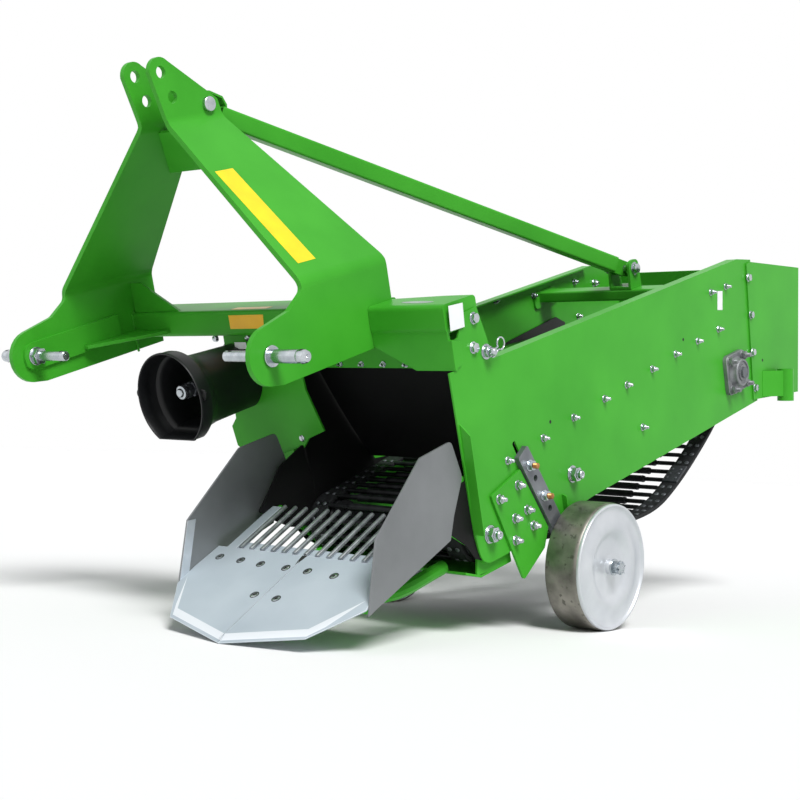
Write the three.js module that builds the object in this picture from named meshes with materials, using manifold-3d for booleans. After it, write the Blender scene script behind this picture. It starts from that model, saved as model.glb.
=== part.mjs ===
// One-row elevator potato digger for a tractor's three-point hitch.
// Millimetres, +Z up, the tractor side towards -Y. The machine is drawn level about its lower
// hitch axis and then set down the way it parks: on the share tip and its two wheels.
import * as THREE from "three";
import { mergeVertices } from "three/addons/utils/BufferGeometryUtils.js";
import Module from "manifold-3d";

const wasm = await Module();
wasm.setup();

// ---------------------------------------------------------------- sizes
const GAP = 0.3; // between pieces that touch
const FIT = 0.4; // radial, a pin or shaft in its hole

// headstock
const PIN_SPAN = 752; // between the middles of the two lug plates
const LEG_T = 12;
const EAR_GAP = 70; // between the two top ears
const BEND_LOW = 125; // height of the lower bend over the hitch axis
const BEND_HIGH = 470;
const LUG_R = 60;
const LUG_POINTS = 28;
const LEG_BEND_R = 36; // of the legs' two bends, to the middle of the plate
const TOP_HOLE_D = 26;
const TOP_HOLES = [
  [151, BEND_HIGH + 109],
  [172, BEND_HIGH + 55],
]; // upper link holes, y and z
const STRUT_HOLE = [271, BEND_HIGH + 30];
const STRUT_BOLT_D = 20;
const EAR_NOSE_R = 32;
const EAR_POINTS = 32;
const GUSSET_T = 8;
const TIE_DROP = [14, 107]; // the sloping tie plate's ends under the upper bends
const TIE_Y = [203, 300];
const DOUBLER_T = 8;
const DOUBLER_R = 31;
const DOUBLER_END = 255;

// lower hitch pins
const PIN_OUT_D = 28;
const PIN_OUT_L = 99;
const PIN_IN_D = 22;
const PIN_IN_L = 108;
const PIN_SEAT_D = 24;
const PIN_FLANGE_D = 44;
const PIN_FLANGE_T = 5;
const PIN_NUT_D = 38;
const PIN_NUT_T = 18;

// cross beam
const BEAM_FRONT = 306;
const BEAM_DEPTH = 115;
const BEAM_TOP = 35;
const BEAM_H = 61;
const BEAM_WALL = 5;
const BEAM_R = 10;
const BEAM_GUSSET_T = 8;
const BEAM_GUSSET_H = 72;
const BEAM_GUSSET_L = 160;
const FLOOR_GUSSET_Y = 168; // how far the flat gussets reach in front of the beam
const FLOOR_GUSSET_X = 125;
const BOX_R = 12;
const BOX_PLATE_DROP = 78;
const BOX_TAB = 32; // how far the plate under the box folds back over the side panel
const BOX_PLATE_T = 8;

// elevator channel
const CHANNEL_X = 341; // its middle, to the left of the hitch's middle
const CHANNEL_W = 492; // over its side plates
const SIDE_T = 4;
const SIDE_FRONT = 292;
const SIDE_TOP = -110;
const SIDE_BOTTOM = -516;
const SIDE_REAR = 1694;
const NOSE_R = 62;
const TOP_LIP = 30;
const FRONT_LIP = 24;
const FRONT_LIP_TOP = -214;
const STOP_Y = 638;
const EXT_T = 4;
const EXT_LAP = 1660;
const EXT_REAR = 1990;
const EXT_DROP = 78; // fall of the extension's top edge from the lap to the rear
const EXT_H = 352;
const EXT_RAKE = 81;

// rear cross pieces
const REAR_TUBE_Y = 1360;
const REAR_TUBE_DEPTH = 60;
const REAR_TUBE_TOP = -138;
const REAR_TUBE_H = 30;
const REAR_TUBE_WALL = 3;
const FOOT_T = 6;
const REAR_PLATE_Y = 1800;
const REAR_PLATE_T = 5;
const REAR_PLATE_H = 90;

// strut from the ears to the rear cross tube
const STRUT_S = 42;
const STRUT_WALL = 4;
const STRUT_CORNER = 6;
const STRUT_EYE_T = 14;
const STRUT_EYE_R = 20;
const STRUT_REAR_X = 366;
const STRUT_REAR_RISE = 52; // rear bolt over the cross tube
const BRACKET_T = 7;
const BRACKET_GAP = 52;

// share
const SHARE_SLOPE = THREE.MathUtils.degToRad(15.6);
const SHARE_ORIGIN_Z = -445; // height of the blade's top face below the hitch axis
const BLADE_T = 8;
const BLADE_TIP = -240;
const BLADE_SHOULDER = [CHANNEL_W / 2 - 59, -190];
const BLADE_CORNER = [CHANNEL_W / 2 + 16, -88];
const BLADE_REAR = 46;
const BEVEL = 22;
const STRIP = [CHANNEL_W / 2 - 45, CHANNEL_W / 2 - 17]; // flat side strip behind each blade
const STRIP_REAR = 205;
const CARRIER_T = 10;
const CARRIER_FRONT = -84;
const CARRIER_REAR = 50;
const RAIL_REAR = 222; // the carrier's side rails, which reach back to its arms
const RAIL_W = 22;
const ARM_T = 8;
const SKIRT_T = 3; // rubber between a carrier arm and its side panel
const GRID_N = 13;
const GRID_D = 10;
const GRID_PITCH = 31.5;
const GRID_REAR = 208;
const GRID_BAR = 9;
const WING_T = 5;
const WING_FLARE = 18;
const WING_RUN = 360;
const SKID_D = 30;
const SKID_HALF = 172;
const SKID_FRONT = 78;
const SKID_Z = -522;
const SKID_BEND = 55;
const FLOOR_PLATE_T = 5;
const FLOOR_PLATE = [
  [272, -534],
  [322, -558],
  [436, -562],
]; // underside, y and z
const FLOOR_LUG_TOP = -500;

// elevator web and what carries it
const ROD_S = 8.8; // side of a rod drawn square
const ROD_PITCH = 36;
const ROD_END = 10; // a rod's end short of the belt's outer edge
const BELT_T = 10;
const BELT_W = 46;
const BELT_OFFSET = 192;
const FRONT_ROLLER = [352, -470, 58]; // y, z and the radius of the belt's middle
const DRIVE = [1525, -404, 70];
const SAG = [
  [1440, -535],
  [1320, -590],
  [1210, -630],
  [1110, -652],
  [1000, -648],
  [860, -622],
  [720, -588],
  [560, -556],
  [440, -536],
];
const SHAKER_Y = 690;
const CARRY_Y = 1010;
const ROLLER_R = 44;
const ROLLER_GROOVE = 2.2;
const SHAFT_D = 30;
const ROLLER_SHAFT_D = 20;
const DRUM_W = 60;
const BEARING_S = 108;
const BEARING_T = 13;
const BEARING_BOSS_D = 76;
const BEARING_BOSS_L = 31;
const NUT_L = 16;

// wheels
const WHEEL = [646, -638]; // y and z of the axle
const WHEEL_R = 144;
const WHEEL_W = 90;
const RIM_T = 6;
const DISC_T = 5;
const HUB_R = 30;
const AXLE_D = 25;
const ARM_BAR_T = 12;
const ARM_BAR_W = 44;
const ARM_TOP = [496, -334];
const WHEEL_CLEAR = 6;
const HOLE_D = 15;
const KITE_T = 6;

// drive
const PTO_X = -54.5;
const PTO_Z = -117;
const PTO_TIP = 132;
const PTO_D = 35;
const GUARD_FRONT = 100;
const GUARD_R = 102.5;
const GUARD_FLAT = 0.835; // where the flat floor cuts the guard, as a share of its half height
const GUARD_TALL = 1.06;
const GUARD_DROP = 8.6; // its middle under the shaft
const GUARD_NECK = 0.77;
const GUARD_WALL = 4;
const SHIELD_Y = 322;
const SHIELD_T = 6;
const RUBBER_NOTCH = 5; // room over the side rubber where the shield passes it
const SHIELD_BOTTOM = -336;
const GEARBOX = [175, 150, 156];
const GEARBOX_Y = 352;
const CASE_T = 48;
const CASE_R = 62;
const CASE_FRONT = [462, -150];

// rubber
const CURTAIN_Y = 392;
const CURTAIN_T = 4;
const CURTAIN_BOTTOM = -372;
const CURTAIN_TOP = -86;
const CURTAIN_LEAN = 148; // it hangs pushed back over the web
const STRIP_T = 5;
const RUBBER_T = 5;

// rear sockets
const SOCKET_D = 46;
const SOCKET_WALL = 4;
const SOCKET_L = 90;
const SOCKET_Y = 1783;
const SOCKET_TOP = -457;
const SOCKET_LEAN = THREE.MathUtils.degToRad(12.3);
const SOCKET_PLATE_L = 92;

// ---------------------------------------------------------------- materials
const paint = (hex) => new THREE.MeshStandardMaterial({ color: hex, metalness: 0.1, roughness: 0.35 });
const GREEN = paint(0x3fae2a);
const plain = (hex, metalness, roughness) =>
  new THREE.MeshStandardMaterial({ color: hex, metalness, roughness });
const STEEL = plain(0xb4bcc2, 0.8, 0.4);
const DARK = plain(0x55585a, 0.7, 0.5);
const ZINC = plain(0xc9cccd, 0.9, 0.3);
const BLACK = plain(0x17181a, 0.0, 0.7);
const RUBBER = plain(0x101112, 0.0, 0.9);

// ---------------------------------------------------------------- helpers
const part = new THREE.Group();
part.name = "potato_digger";

// A closed manifold-3d solid from a three.js geometry, facing out.
function solid(geometry) {
  const bare = new THREE.BufferGeometry();
  bare.setAttribute("position", geometry.getAttribute("position"));
  if (geometry.index) bare.setIndex(geometry.index);
  const merged = mergeVertices(bare, 1e-3);
  const vertProperties = new Float32Array(merged.attributes.position.array);
  const faces = Array.from(merged.index.array);
  const kept = [];
  for (let i = 0; i < faces.length; i += 3) {
    const [a, b, c] = [faces[i], faces[i + 1], faces[i + 2]];
    if (a !== b && b !== c && c !== a) kept.push(a, b, c);
  }
  const make = (list) =>
    new wasm.Manifold(
      new wasm.Mesh({ numProp: 3, vertProperties, triVerts: new Uint32Array(list) }),
    );
  const made = make(kept);
  if (made.volume() > 0) return made;
  const turned = [];
  for (let i = 0; i < kept.length; i += 3) turned.push(kept[i], kept[i + 2], kept[i + 1]);
  return make(turned);
}

function geometryOf(body) {
  const mesh = body.getMesh();
  const count = mesh.numProp;
  const xyz = new Float32Array(mesh.numVert * 3);
  for (let i = 0; i < mesh.numVert; i++) {
    xyz.set(mesh.vertProperties.subarray(i * count, i * count + 3), i * 3);
  }
  const geometry = new THREE.BufferGeometry();
  geometry.setAttribute("position", new THREE.BufferAttribute(xyz, 3));
  geometry.setIndex(new THREE.BufferAttribute(new Uint32Array(mesh.triVerts), 1));
  const flat = geometry.toNonIndexed();
  flat.computeVertexNormals();
  return flat;
}

function add(name, body, material) {
  const mesh = new THREE.Mesh(geometryOf(body), material.clone());
  mesh.name = name;
  part.add(mesh);
}

const join = (list) => list.reduce((sum, one) => sum.add(one));

// A corner list [a, b, radius] with each corner rounded.
function rounded(corners, steps = 3) {
  const out = [];
  corners.forEach((corner, i) => {
    const at = new THREE.Vector2(corner[0], corner[1]);
    const radius = corner[2] || 0;
    if (!radius) {
      out.push([at.x, at.y]);
      return;
    }
    const before = corners[(i + corners.length - 1) % corners.length];
    const after = corners[(i + 1) % corners.length];
    const toBefore = new THREE.Vector2(before[0], before[1]).sub(at);
    const toAfter = new THREE.Vector2(after[0], after[1]).sub(at);
    const half = Math.acos(
      toBefore.clone().normalize().dot(toAfter.clone().normalize()),
    ) / 2;
    const room = 0.49 * Math.min(toBefore.length(), toAfter.length());
    const run = Math.min(radius / Math.tan(half), room);
    const start = at.clone().addScaledVector(toBefore.normalize(), run);
    const end = at.clone().addScaledVector(toAfter.normalize(), run);
    const curve = new THREE.QuadraticBezierCurve(start, at, end);
    curve.getPoints(steps).forEach((p) => out.push([p.x, p.y]));
  });
  return out;
}

// Outline and holes both run anticlockwise.
function shapeOf(points, holes = []) {
  const turned = (list) => {
    const flat = list.map(([a, b]) => new THREE.Vector2(a, b));
    return THREE.ShapeUtils.area(flat) < 0 ? flat.reverse() : flat;
  };
  const shape = new THREE.Shape(turned(points));
  holes.forEach((hole) => shape.holes.push(new THREE.Path(turned(hole))));
  return shape;
}

const ring = (a, b, radius, count = 16) =>
  Array.from({ length: count }, (_, i) => {
    const turn = (2 * Math.PI * i) / count;
    return [a + radius * Math.cos(turn), b + radius * Math.sin(turn)];
  });

// Plates: an outline swept along one axis. Along X the outline is (y, z), along Y it is (x, z).
function sweep(points, from, to, holes) {
  return new THREE.ExtrudeGeometry(shapeOf(points, holes), {
    depth: to - from,
    bevelEnabled: false,
    steps: 1,
  }).translate(0, 0, from);
}

function alongX(points, from, to, holes = []) {
  const turn = new THREE.Matrix4().set(0, 0, 1, 0, 1, 0, 0, 0, 0, 1, 0, 0, 0, 0, 0, 1);
  return solid(sweep(points, from, to, holes).applyMatrix4(turn));
}

function alongY(points, from, to, holes = []) {
  const turn = new THREE.Matrix4().set(1, 0, 0, 0, 0, 0, 1, 0, 0, -1, 0, 0, 0, 0, 0, 1);
  const flipped = points.map(([x, z]) => [x, -z]);
  const cut = holes.map((hole) => hole.map(([x, z]) => [x, -z]));
  return solid(sweep(flipped, from, to, cut).applyMatrix4(turn));
}

function alongZ(points, from, to, holes = []) {
  return solid(sweep(points, from, to, holes));
}

const rect = (a0, a1, b0, b1) => [
  [a0, b0],
  [a1, b0],
  [a1, b1],
  [a0, b1],
];

const block = (x0, x1, y0, y1, z0, z1) => alongZ(rect(x0, x1, y0, y1), z0, z1);

function rod(axis, from, to, a, b, radius, count = 16) {
  const outline = ring(a, b, radius, count);
  if (axis === "x") return alongX(outline, from, to);
  if (axis === "y") return alongY(outline, from, to);
  return alongZ(outline, from, to);
}

// A turned piece about an axis along X: the profile is a list of (x, radius).
function turnedX(profile, y, z, count = 40) {
  const points = profile.map(([x, r]) => new THREE.Vector2(r, x));
  const geometry = new THREE.LatheGeometry(points, count);
  geometry.rotateZ(-Math.PI / 2);
  geometry.translate(0, y, z);
  return solid(geometry);
}

// A closed skin through rings of equally many points.
function loft(rings) {
  const count = rings[0].length;
  const xyz = rings.flat().flatMap((p) => [p.x, p.y, p.z]);
  const faces = [];
  for (let r = 0; r + 1 < rings.length; r++) {
    for (let i = 0; i < count; i++) {
      const j = (i + 1) % count;
      const a = r * count + i;
      const b = r * count + j;
      faces.push(a, b, b + count, a, b + count, a + count);
    }
  }
  const cap = (start, flip) => {
    for (let i = 1; i + 1 < count; i++) {
      if (flip) faces.push(start, start + i + 1, start + i);
      else faces.push(start, start + i, start + i + 1);
    }
  };
  cap(0, true);
  cap((rings.length - 1) * count, false);
  const geometry = new THREE.BufferGeometry();
  geometry.setAttribute("position", new THREE.BufferAttribute(new Float32Array(xyz), 3));
  geometry.setIndex(faces);
  return solid(geometry);
}

// A round bar along a path.
function bar(points, radius, count = 12, steps = 40) {
  const path = new THREE.CurvePath();
  for (let i = 0; i + 1 < points.length; i++) path.add(new THREE.LineCurve3(points[i], points[i + 1]));
  const smooth = new THREE.CatmullRomCurve3(points, false, "centripetal");
  const outline = shapeOf(ring(0, 0, radius, count));
  return solid(
    new THREE.ExtrudeGeometry(outline, { steps, extrudePath: smooth, bevelEnabled: false }),
  );
}

// The band on both sides of a line of points, as one outline.
function strip(points, thickness) {
  const half = thickness / 2;
  const side = (sign) =>
    points.map(([a, b], i) => {
      const here = new THREE.Vector2(a, b);
      const back = i ? new THREE.Vector2(...points[i - 1]) : null;
      const next = i + 1 < points.length ? new THREE.Vector2(...points[i + 1]) : null;
      const along = [];
      if (back) along.push(here.clone().sub(back).normalize());
      if (next) along.push(next.clone().sub(here).normalize());
      const normals = along.map((d) => new THREE.Vector2(-d.y, d.x));
      const mid = normals.reduce((sum, n) => sum.add(n.clone()), new THREE.Vector2()).normalize();
      const reach = half / mid.dot(normals[0]);
      return [a + sign * mid.x * reach, b + sign * mid.y * reach];
    });
  return [...side(1), ...side(-1).reverse()];
}

// Left (+X) and right (-X) of a middle plane.
const SIDES = [
  ["left", 1],
  ["right", -1],
];
const span = (middle, side, near, far) => {
  const ends = [middle + side * near, middle + side * far];
  return [Math.min(...ends), Math.max(...ends)];
};

// ---------------------------------------------------------------- headstock
const pinHalf = PIN_SPAN / 2;
const earMid = (EAR_GAP + LEG_T) / 2;
const legInner = pinHalf - LEG_T / 2;
const legOuter = pinHalf + LEG_T / 2;
const legRear = BEAM_FRONT + 85;
const beamBottom = BEAM_TOP - BEAM_H;
const beamRear = BEAM_FRONT + BEAM_DEPTH;
const legLine = rounded([
  [pinHalf, -2 * LUG_R],
  [pinHalf, BEND_LOW, LEG_BEND_R],
  [earMid, BEND_HIGH, LEG_BEND_R],
  [earMid, BEND_HIGH + 200],
], 4);
const legSide = rounded([
  [TOP_HOLES[1][0] - EAR_NOSE_R + 6, BEND_HIGH + 3],
  [118, BEND_LOW + 5],
  [118, BEND_LOW - 18, 20],
  [70, LUG_R + 16, 20],
  ...ring(0, 0, LUG_R, LUG_POINTS).slice(LUG_POINTS * 0.25 + 1, LUG_POINTS * 0.75),
  [LUG_R * 0.4, -LUG_R - 4, 20],
  [legRear, -LUG_R + 7],
  [legRear, BEND_LOW],
  [STRUT_HOLE[0] + 40, BEND_HIGH],
  [STRUT_HOLE[0] + 31.5, STRUT_HOLE[1] + 10, 12],
  ...ring(...TOP_HOLES[0], EAR_NOSE_R, EAR_POINTS).slice(EAR_POINTS / 8, EAR_POINTS * 0.54),
], 6);
for (const [side, sign] of SIDES) {
  const front = strip(legLine.map(([x, z]) => [sign * x, z]), LEG_T);
  const holes = [
    ring(...TOP_HOLES[0], TOP_HOLE_D / 2),
    ring(...TOP_HOLES[1], TOP_HOLE_D / 2),
    ring(...STRUT_HOLE, STRUT_BOLT_D / 2 + FIT),
    ring(0, 0, PIN_SEAT_D / 2 + FIT),
  ];
  const band = alongY(front, -2 * LUG_R, beamRear);
  const outline = alongX(legSide, -2 * pinHalf, 2 * pinHalf, holes);
  const [d0, d1] = span(0, sign, legInner - DOUBLER_T, legInner + 1);
  const doubler = alongX(
    rounded([
      [-DOUBLER_R, -DOUBLER_R, DOUBLER_R],
      [DOUBLER_END, -DOUBLER_R + 12],
      [DOUBLER_END, DOUBLER_R + 12],
      [-DOUBLER_R, DOUBLER_R, DOUBLER_R],
    ]),
    d0,
    d1,
    [ring(0, 0, PIN_SEAT_D / 2 + FIT)],
  );
  add("headstock_leg_" + side, band.intersect(outline).add(doubler), GREEN);
}

// A sloping plate that ties the two legs under the ears; its ends follow the legs' inner faces.
const legRun = new THREE.Vector2(pinHalf - earMid, BEND_LOW - BEND_HIGH);
const faceShift = (LEG_T / 2) * (legRun.length() / -legRun.y);
const innerX = (z) => earMid + ((z - BEND_HIGH) * legRun.x) / legRun.y - faceShift - GAP * 1.5;
const tieTop = BEND_HIGH - TIE_DROP[0];
const tieBottom = BEND_HIGH - TIE_DROP[1];
const tieBetween = alongY(
  [
    [-innerX(tieTop + 8), tieTop + 8],
    [-innerX(tieBottom - 8), tieBottom - 8],
    [innerX(tieBottom - 8), tieBottom - 8],
    [innerX(tieTop + 8), tieTop + 8],
  ],
  TIE_Y[0] - 10,
  TIE_Y[1] + 10,
);
const tieSlope = strip([[TIE_Y[0], tieTop], [TIE_Y[1], tieBottom]], GUSSET_T);
const tie = alongX(tieSlope, -pinHalf, pinHalf).intersect(tieBetween);
add("headstock_tie_plate", tie, GREEN);

for (const [side, sign] of SIDES) {
  const profile = [
    [legInner - DOUBLER_T - PIN_IN_L, 0],
    [legInner - DOUBLER_T - PIN_IN_L, PIN_IN_D / 2 - 2],
    [legInner - DOUBLER_T - PIN_IN_L + 2, PIN_IN_D / 2],
    [legInner - DOUBLER_T - PIN_NUT_T, PIN_IN_D / 2],
    [legInner - DOUBLER_T - PIN_NUT_T, PIN_NUT_D / 2],
    [legInner - DOUBLER_T - GAP, PIN_NUT_D / 2],
    [legInner - DOUBLER_T - GAP, PIN_SEAT_D / 2],
    [legOuter + GAP, PIN_SEAT_D / 2],
    [legOuter + GAP, PIN_FLANGE_D / 2],
    [legOuter + PIN_FLANGE_T, PIN_FLANGE_D / 2],
    [legOuter + PIN_FLANGE_T, PIN_OUT_D / 2],
    [legOuter + PIN_OUT_L - 2, PIN_OUT_D / 2],
    [legOuter + PIN_OUT_L, PIN_OUT_D / 2 - 2],
    [legOuter + PIN_OUT_L, 0],
  ].map(([x, r]) => [sign * x, r]);
  add("lower_link_pin_" + side, turnedX(profile, 0, 0, 14), ZINC);
}

// ---------------------------------------------------------------- cross beam
const beamEnd = legInner - GAP;
const hollow = (y0, y1, z0, z1, wall, radius) => [
  rounded([
    [y0, z0, radius],
    [y1, z0, radius],
    [y1, z1, radius],
    [y0, z1, radius],
  ]),
  rounded([
    [y0 + wall, z0 + wall, radius - wall],
    [y1 - wall, z0 + wall, radius - wall],
    [y1 - wall, z1 - wall, radius - wall],
    [y0 + wall, z1 - wall, radius - wall],
  ]),
];
const [beamSkin, beamVoid] = hollow(
  BEAM_FRONT,
  beamRear,
  beamBottom,
  BEAM_TOP,
  BEAM_WALL,
  BEAM_R,
);
const beam = [alongX(beamSkin, -beamEnd, beamEnd, [beamVoid])];
for (const [, sign] of SIDES) {
  const edge = (x) => sign * x;
  const rise = alongY(
    [
      [edge(beamEnd), BEAM_TOP - 2],
      [edge(beamEnd - BEAM_GUSSET_L), BEAM_TOP - 2],
      [edge(beamEnd - 34), BEAM_TOP + BEAM_GUSSET_H],
      [edge(beamEnd), BEAM_TOP + BEAM_GUSSET_H],
    ],
    BEAM_FRONT + BEAM_R,
    BEAM_FRONT + BEAM_R + BEAM_GUSSET_T,
  );
  const flat = alongZ(
    [
      [edge(beamEnd), BEAM_FRONT + 1],
      [edge(beamEnd), DOUBLER_END + GAP],
      [edge(beamEnd - DOUBLER_T), DOUBLER_END + GAP],
      [edge(beamEnd - DOUBLER_T), BEAM_FRONT - FLOOR_GUSSET_Y],
      [edge(beamEnd - DOUBLER_T - 14), BEAM_FRONT - FLOOR_GUSSET_Y],
      [edge(beamEnd - FLOOR_GUSSET_X), BEAM_FRONT - 12],
      [edge(beamEnd - FLOOR_GUSSET_X), BEAM_FRONT + 1],
    ],
    beamBottom + BEAM_R,
    beamBottom + BEAM_R + BEAM_GUSSET_T,
  );
  beam.push(rise, flat);
}
add("cross_beam", join(beam), GREEN);

const sideOuter = CHANNEL_X + CHANNEL_W / 2;
const sideInner = sideOuter - SIDE_T;
const boxX = [legOuter + GAP, sideInner - GAP];
const boxShell = alongZ(
  [
    [boxX[0], BEAM_FRONT],
    [boxX[1], BEAM_FRONT],
    [boxX[1], beamRear],
    [boxX[0], legRear],
  ],
  beamBottom,
  BEAM_TOP,
).intersect(
  alongX(
    rounded([
      [BEAM_FRONT, beamBottom, BOX_R],
      [beamRear, beamBottom],
      [beamRear, BEAM_TOP, BOX_R],
      [BEAM_FRONT, BEAM_TOP, BOX_R],
    ], 5),
    boxX[0],
    boxX[1],
  ),
);
const boxCore = block(
  boxX[0] - 1,
  boxX[1] - BEAM_WALL,
  BEAM_FRONT + BEAM_WALL,
  legRear - BEAM_WALL,
  beamBottom + BEAM_WALL,
  BEAM_TOP - BEAM_WALL,
);
const apronFront = BEAM_FRONT + 3;
const tabOuter = sideOuter + GAP + SIDE_T;
const boxApron = alongY(
  [
    [boxX[0], beamBottom - 26],
    [boxX[0] + 106, beamBottom - BOX_PLATE_DROP],
    [tabOuter, beamBottom - BOX_PLATE_DROP],
    [tabOuter, beamBottom - 14],
    [boxX[1], beamBottom - 14],
    [boxX[1], beamBottom + BOX_R],
    [boxX[0], beamBottom + BOX_R],
  ],
  apronFront,
  apronFront + BOX_PLATE_T,
);
const boxTab = alongX(
  rounded([
    [apronFront, beamBottom - 14],
    [apronFront + BOX_TAB, beamBottom - 22, 8],
    [apronFront + BOX_TAB - 5, beamBottom - BOX_PLATE_DROP + 9, 8],
    [apronFront, beamBottom - BOX_PLATE_DROP],
  ]),
  sideOuter + GAP,
  tabOuter,
);
add("beam_end_box", boxShell.subtract(boxCore).add(boxApron).add(boxTab), GREEN);

// ---------------------------------------------------------------- side panels
const half = CHANNEL_W / 2;
const shieldBack = SHIELD_Y + SHIELD_T + GAP;
const panelFront = [
  [SIDE_FRONT + 10, SIDE_BOTTOM + 58],
  [SIDE_FRONT + 24, SIDE_BOTTOM - 14, NOSE_R],
  [SIDE_FRONT + 122, SIDE_BOTTOM - 16, NOSE_R],
  [SIDE_FRONT + 150, SIDE_BOTTOM - 8],
];
const panelOutline = (crown) =>
  rounded([
    ...panelFront,
    [SIDE_FRONT + 330, SIDE_BOTTOM - 8],
    [SIDE_FRONT + 470, SIDE_BOTTOM],
    [SIDE_REAR - 40, SIDE_BOTTOM],
    [SIDE_REAR, SIDE_TOP - 16],
    [SIDE_REAR - 80, SIDE_TOP],
    [SIDE_FRONT + 150, SIDE_TOP, 10],
    ...crown,
  ], 5);
const frontRollerHole = ring(FRONT_ROLLER[0], FRONT_ROLLER[1], ROLLER_SHAFT_D / 2 + FIT, 20);
const driveHole = ring(DRIVE[0], DRIVE[1], SHAFT_D / 2 + 5);
const runLine = (y) => {
  const t = (y - FRONT_ROLLER[0]) / (DRIVE[0] - FRONT_ROLLER[0]);
  const top0 = FRONT_ROLLER[1] + FRONT_ROLLER[2];
  return top0 + t * (DRIVE[1] + DRIVE[2] - top0);
};
const rollerZ = (y) => runLine(y) - BELT_T / 2 - GAP * 2 - ROLLER_R;
const rollerHole = (y) => ring(y, rollerZ(y), ROLLER_SHAFT_D / 2 + FIT, 20);
const slot = rounded(strip([[480, -303], [497, -346]], 12).map(([a, b]) => [a, b, 5]), 3);
for (const [side, sign] of SIDES) {
  const crown =
    sign > 0
      ? [
          [SIDE_FRONT + 146, SIDE_TOP + 40, 6],
          [SIDE_FRONT + 122, BEAM_TOP - 26, 8],
          [BEAM_FRONT + 56, BEAM_TOP - 30],
          [apronFront + BOX_TAB - 4, beamBottom - 14],
          [apronFront + BOX_PLATE_T + GAP, beamBottom - 18],
          [apronFront + BOX_PLATE_T + GAP, beamBottom - BOX_PLATE_DROP - 1],
          [SIDE_FRONT, beamBottom - BOX_PLATE_DROP - 1],
        ]
      : [
          [SIDE_FRONT + 146, SIDE_TOP + 10, 6],
          [beamRear, beamBottom - GAP],
          [shieldBack, beamBottom - GAP],
          [shieldBack, SHIELD_BOTTOM - 8],
          [SIDE_FRONT + 8, SHIELD_BOTTOM - 30],
        ];
  const [x0, x1] = span(CHANNEL_X, sign, half - SIDE_T, half);
  const holes = [frontRollerHole, driveHole, rollerHole(SHAKER_Y), rollerHole(CARRY_Y), slot];
  const plate = alongX(panelOutline(crown), x0, x1, holes);
  const [l0, l1] = span(CHANNEL_X, sign, half - TOP_LIP, half - 1);
  const lip = block(l0, l1, SIDE_FRONT + 152, SIDE_REAR - 82, SIDE_TOP - SIDE_T, SIDE_TOP);
  const [f0, f1] = span(CHANNEL_X, sign, half - 1, half + FRONT_LIP);
  const lipTop = sign > 0 ? FRONT_LIP_TOP : SHIELD_BOTTOM - 34;
  const [fNear, fFar] = sign > 0 ? [f0, f1] : [f1, f0];
  const frontLip = alongY(
    [
      [fNear, lipTop],
      [fFar, lipTop - 26],
      [fFar, SIDE_BOTTOM + 61],
      [fNear, SIDE_BOTTOM + 61],
    ],
    SIDE_FRONT + 9,
    SIDE_FRONT + 9 + SIDE_T,
  );
  const [t0, t1] = span(CHANNEL_X, sign, half - 1, half + 12);
  const stop = alongY(
    [
      [t0, SIDE_BOTTOM + 46],
      [t1, SIDE_BOTTOM + 40],
      [t1, SIDE_BOTTOM - 4],
      [t0, SIDE_BOTTOM - 4],
    ],
    STOP_Y,
    STOP_Y + SIDE_T,
  );
  add("side_panel_" + side, join([plate, lip, frontLip, stop]), GREEN);
}

// ---------------------------------------------------------------- rear extensions
const extOutline = [
  [EXT_LAP, SIDE_TOP - 22],
  [EXT_LAP - 36, SIDE_BOTTOM + 10],
  [EXT_REAR - EXT_RAKE, SIDE_TOP - 16 - EXT_DROP - EXT_H],
  [EXT_REAR, SIDE_TOP - 16 - EXT_DROP],
  [SIDE_REAR - 12, SIDE_TOP - 20],
];
for (const [side, sign] of SIDES) {
  const [x0, x1] = span(CHANNEL_X, sign, half + GAP, half + GAP + EXT_T);
  const wall = alongX(extOutline, x0, x1);
  const socketX = CHANNEL_X + sign * (half + GAP + EXT_T + SOCKET_D / 2 + 4);
  const outer = ring(socketX, SOCKET_Y, SOCKET_D / 2, 24);
  const inner = ring(socketX, SOCKET_Y, SOCKET_D / 2 - SOCKET_WALL, 24);
  const tube = alongZ(outer, SOCKET_TOP - SOCKET_L, SOCKET_TOP);
  const [w0, w1] = span(CHANNEL_X, sign, half + GAP + 1, half + GAP + EXT_T + SOCKET_D / 2);
  const web = block(w0, w1, SOCKET_Y - 4, SOCKET_Y + 4, SOCKET_TOP - 76, SOCKET_TOP - 8);
  const wallX = CHANNEL_X + sign * (half + GAP + 1);
  const bent = alongZ(
    [
      [wallX, SOCKET_Y - SOCKET_PLATE_L],
      [wallX, SOCKET_Y - SOCKET_PLATE_L + 8],
      [socketX - sign * 2, SOCKET_Y - SOCKET_D / 2 + 5],
      [socketX + sign * 4, SOCKET_Y - SOCKET_D / 2 + 1],
      [wallX + sign * EXT_T, SOCKET_Y - SOCKET_PLATE_L],
    ],
    SOCKET_TOP - 76,
    SOCKET_TOP - 4,
  );
  const lean = new THREE.Matrix4()
    .makeTranslation(0, SOCKET_Y, SOCKET_TOP)
    .multiply(new THREE.Matrix4().makeRotationX(-SOCKET_LEAN))
    .multiply(new THREE.Matrix4().makeTranslation(0, -SOCKET_Y, -SOCKET_TOP));
  const bore = alongZ(inner, SOCKET_TOP - SOCKET_L - 1, SOCKET_TOP + 1);
  const holder = solid(geometryOf(join([tube, web, bent]).subtract(bore)).applyMatrix4(lean));
  add("rear_extension_" + side, wall.add(holder), GREEN);
}

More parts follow.
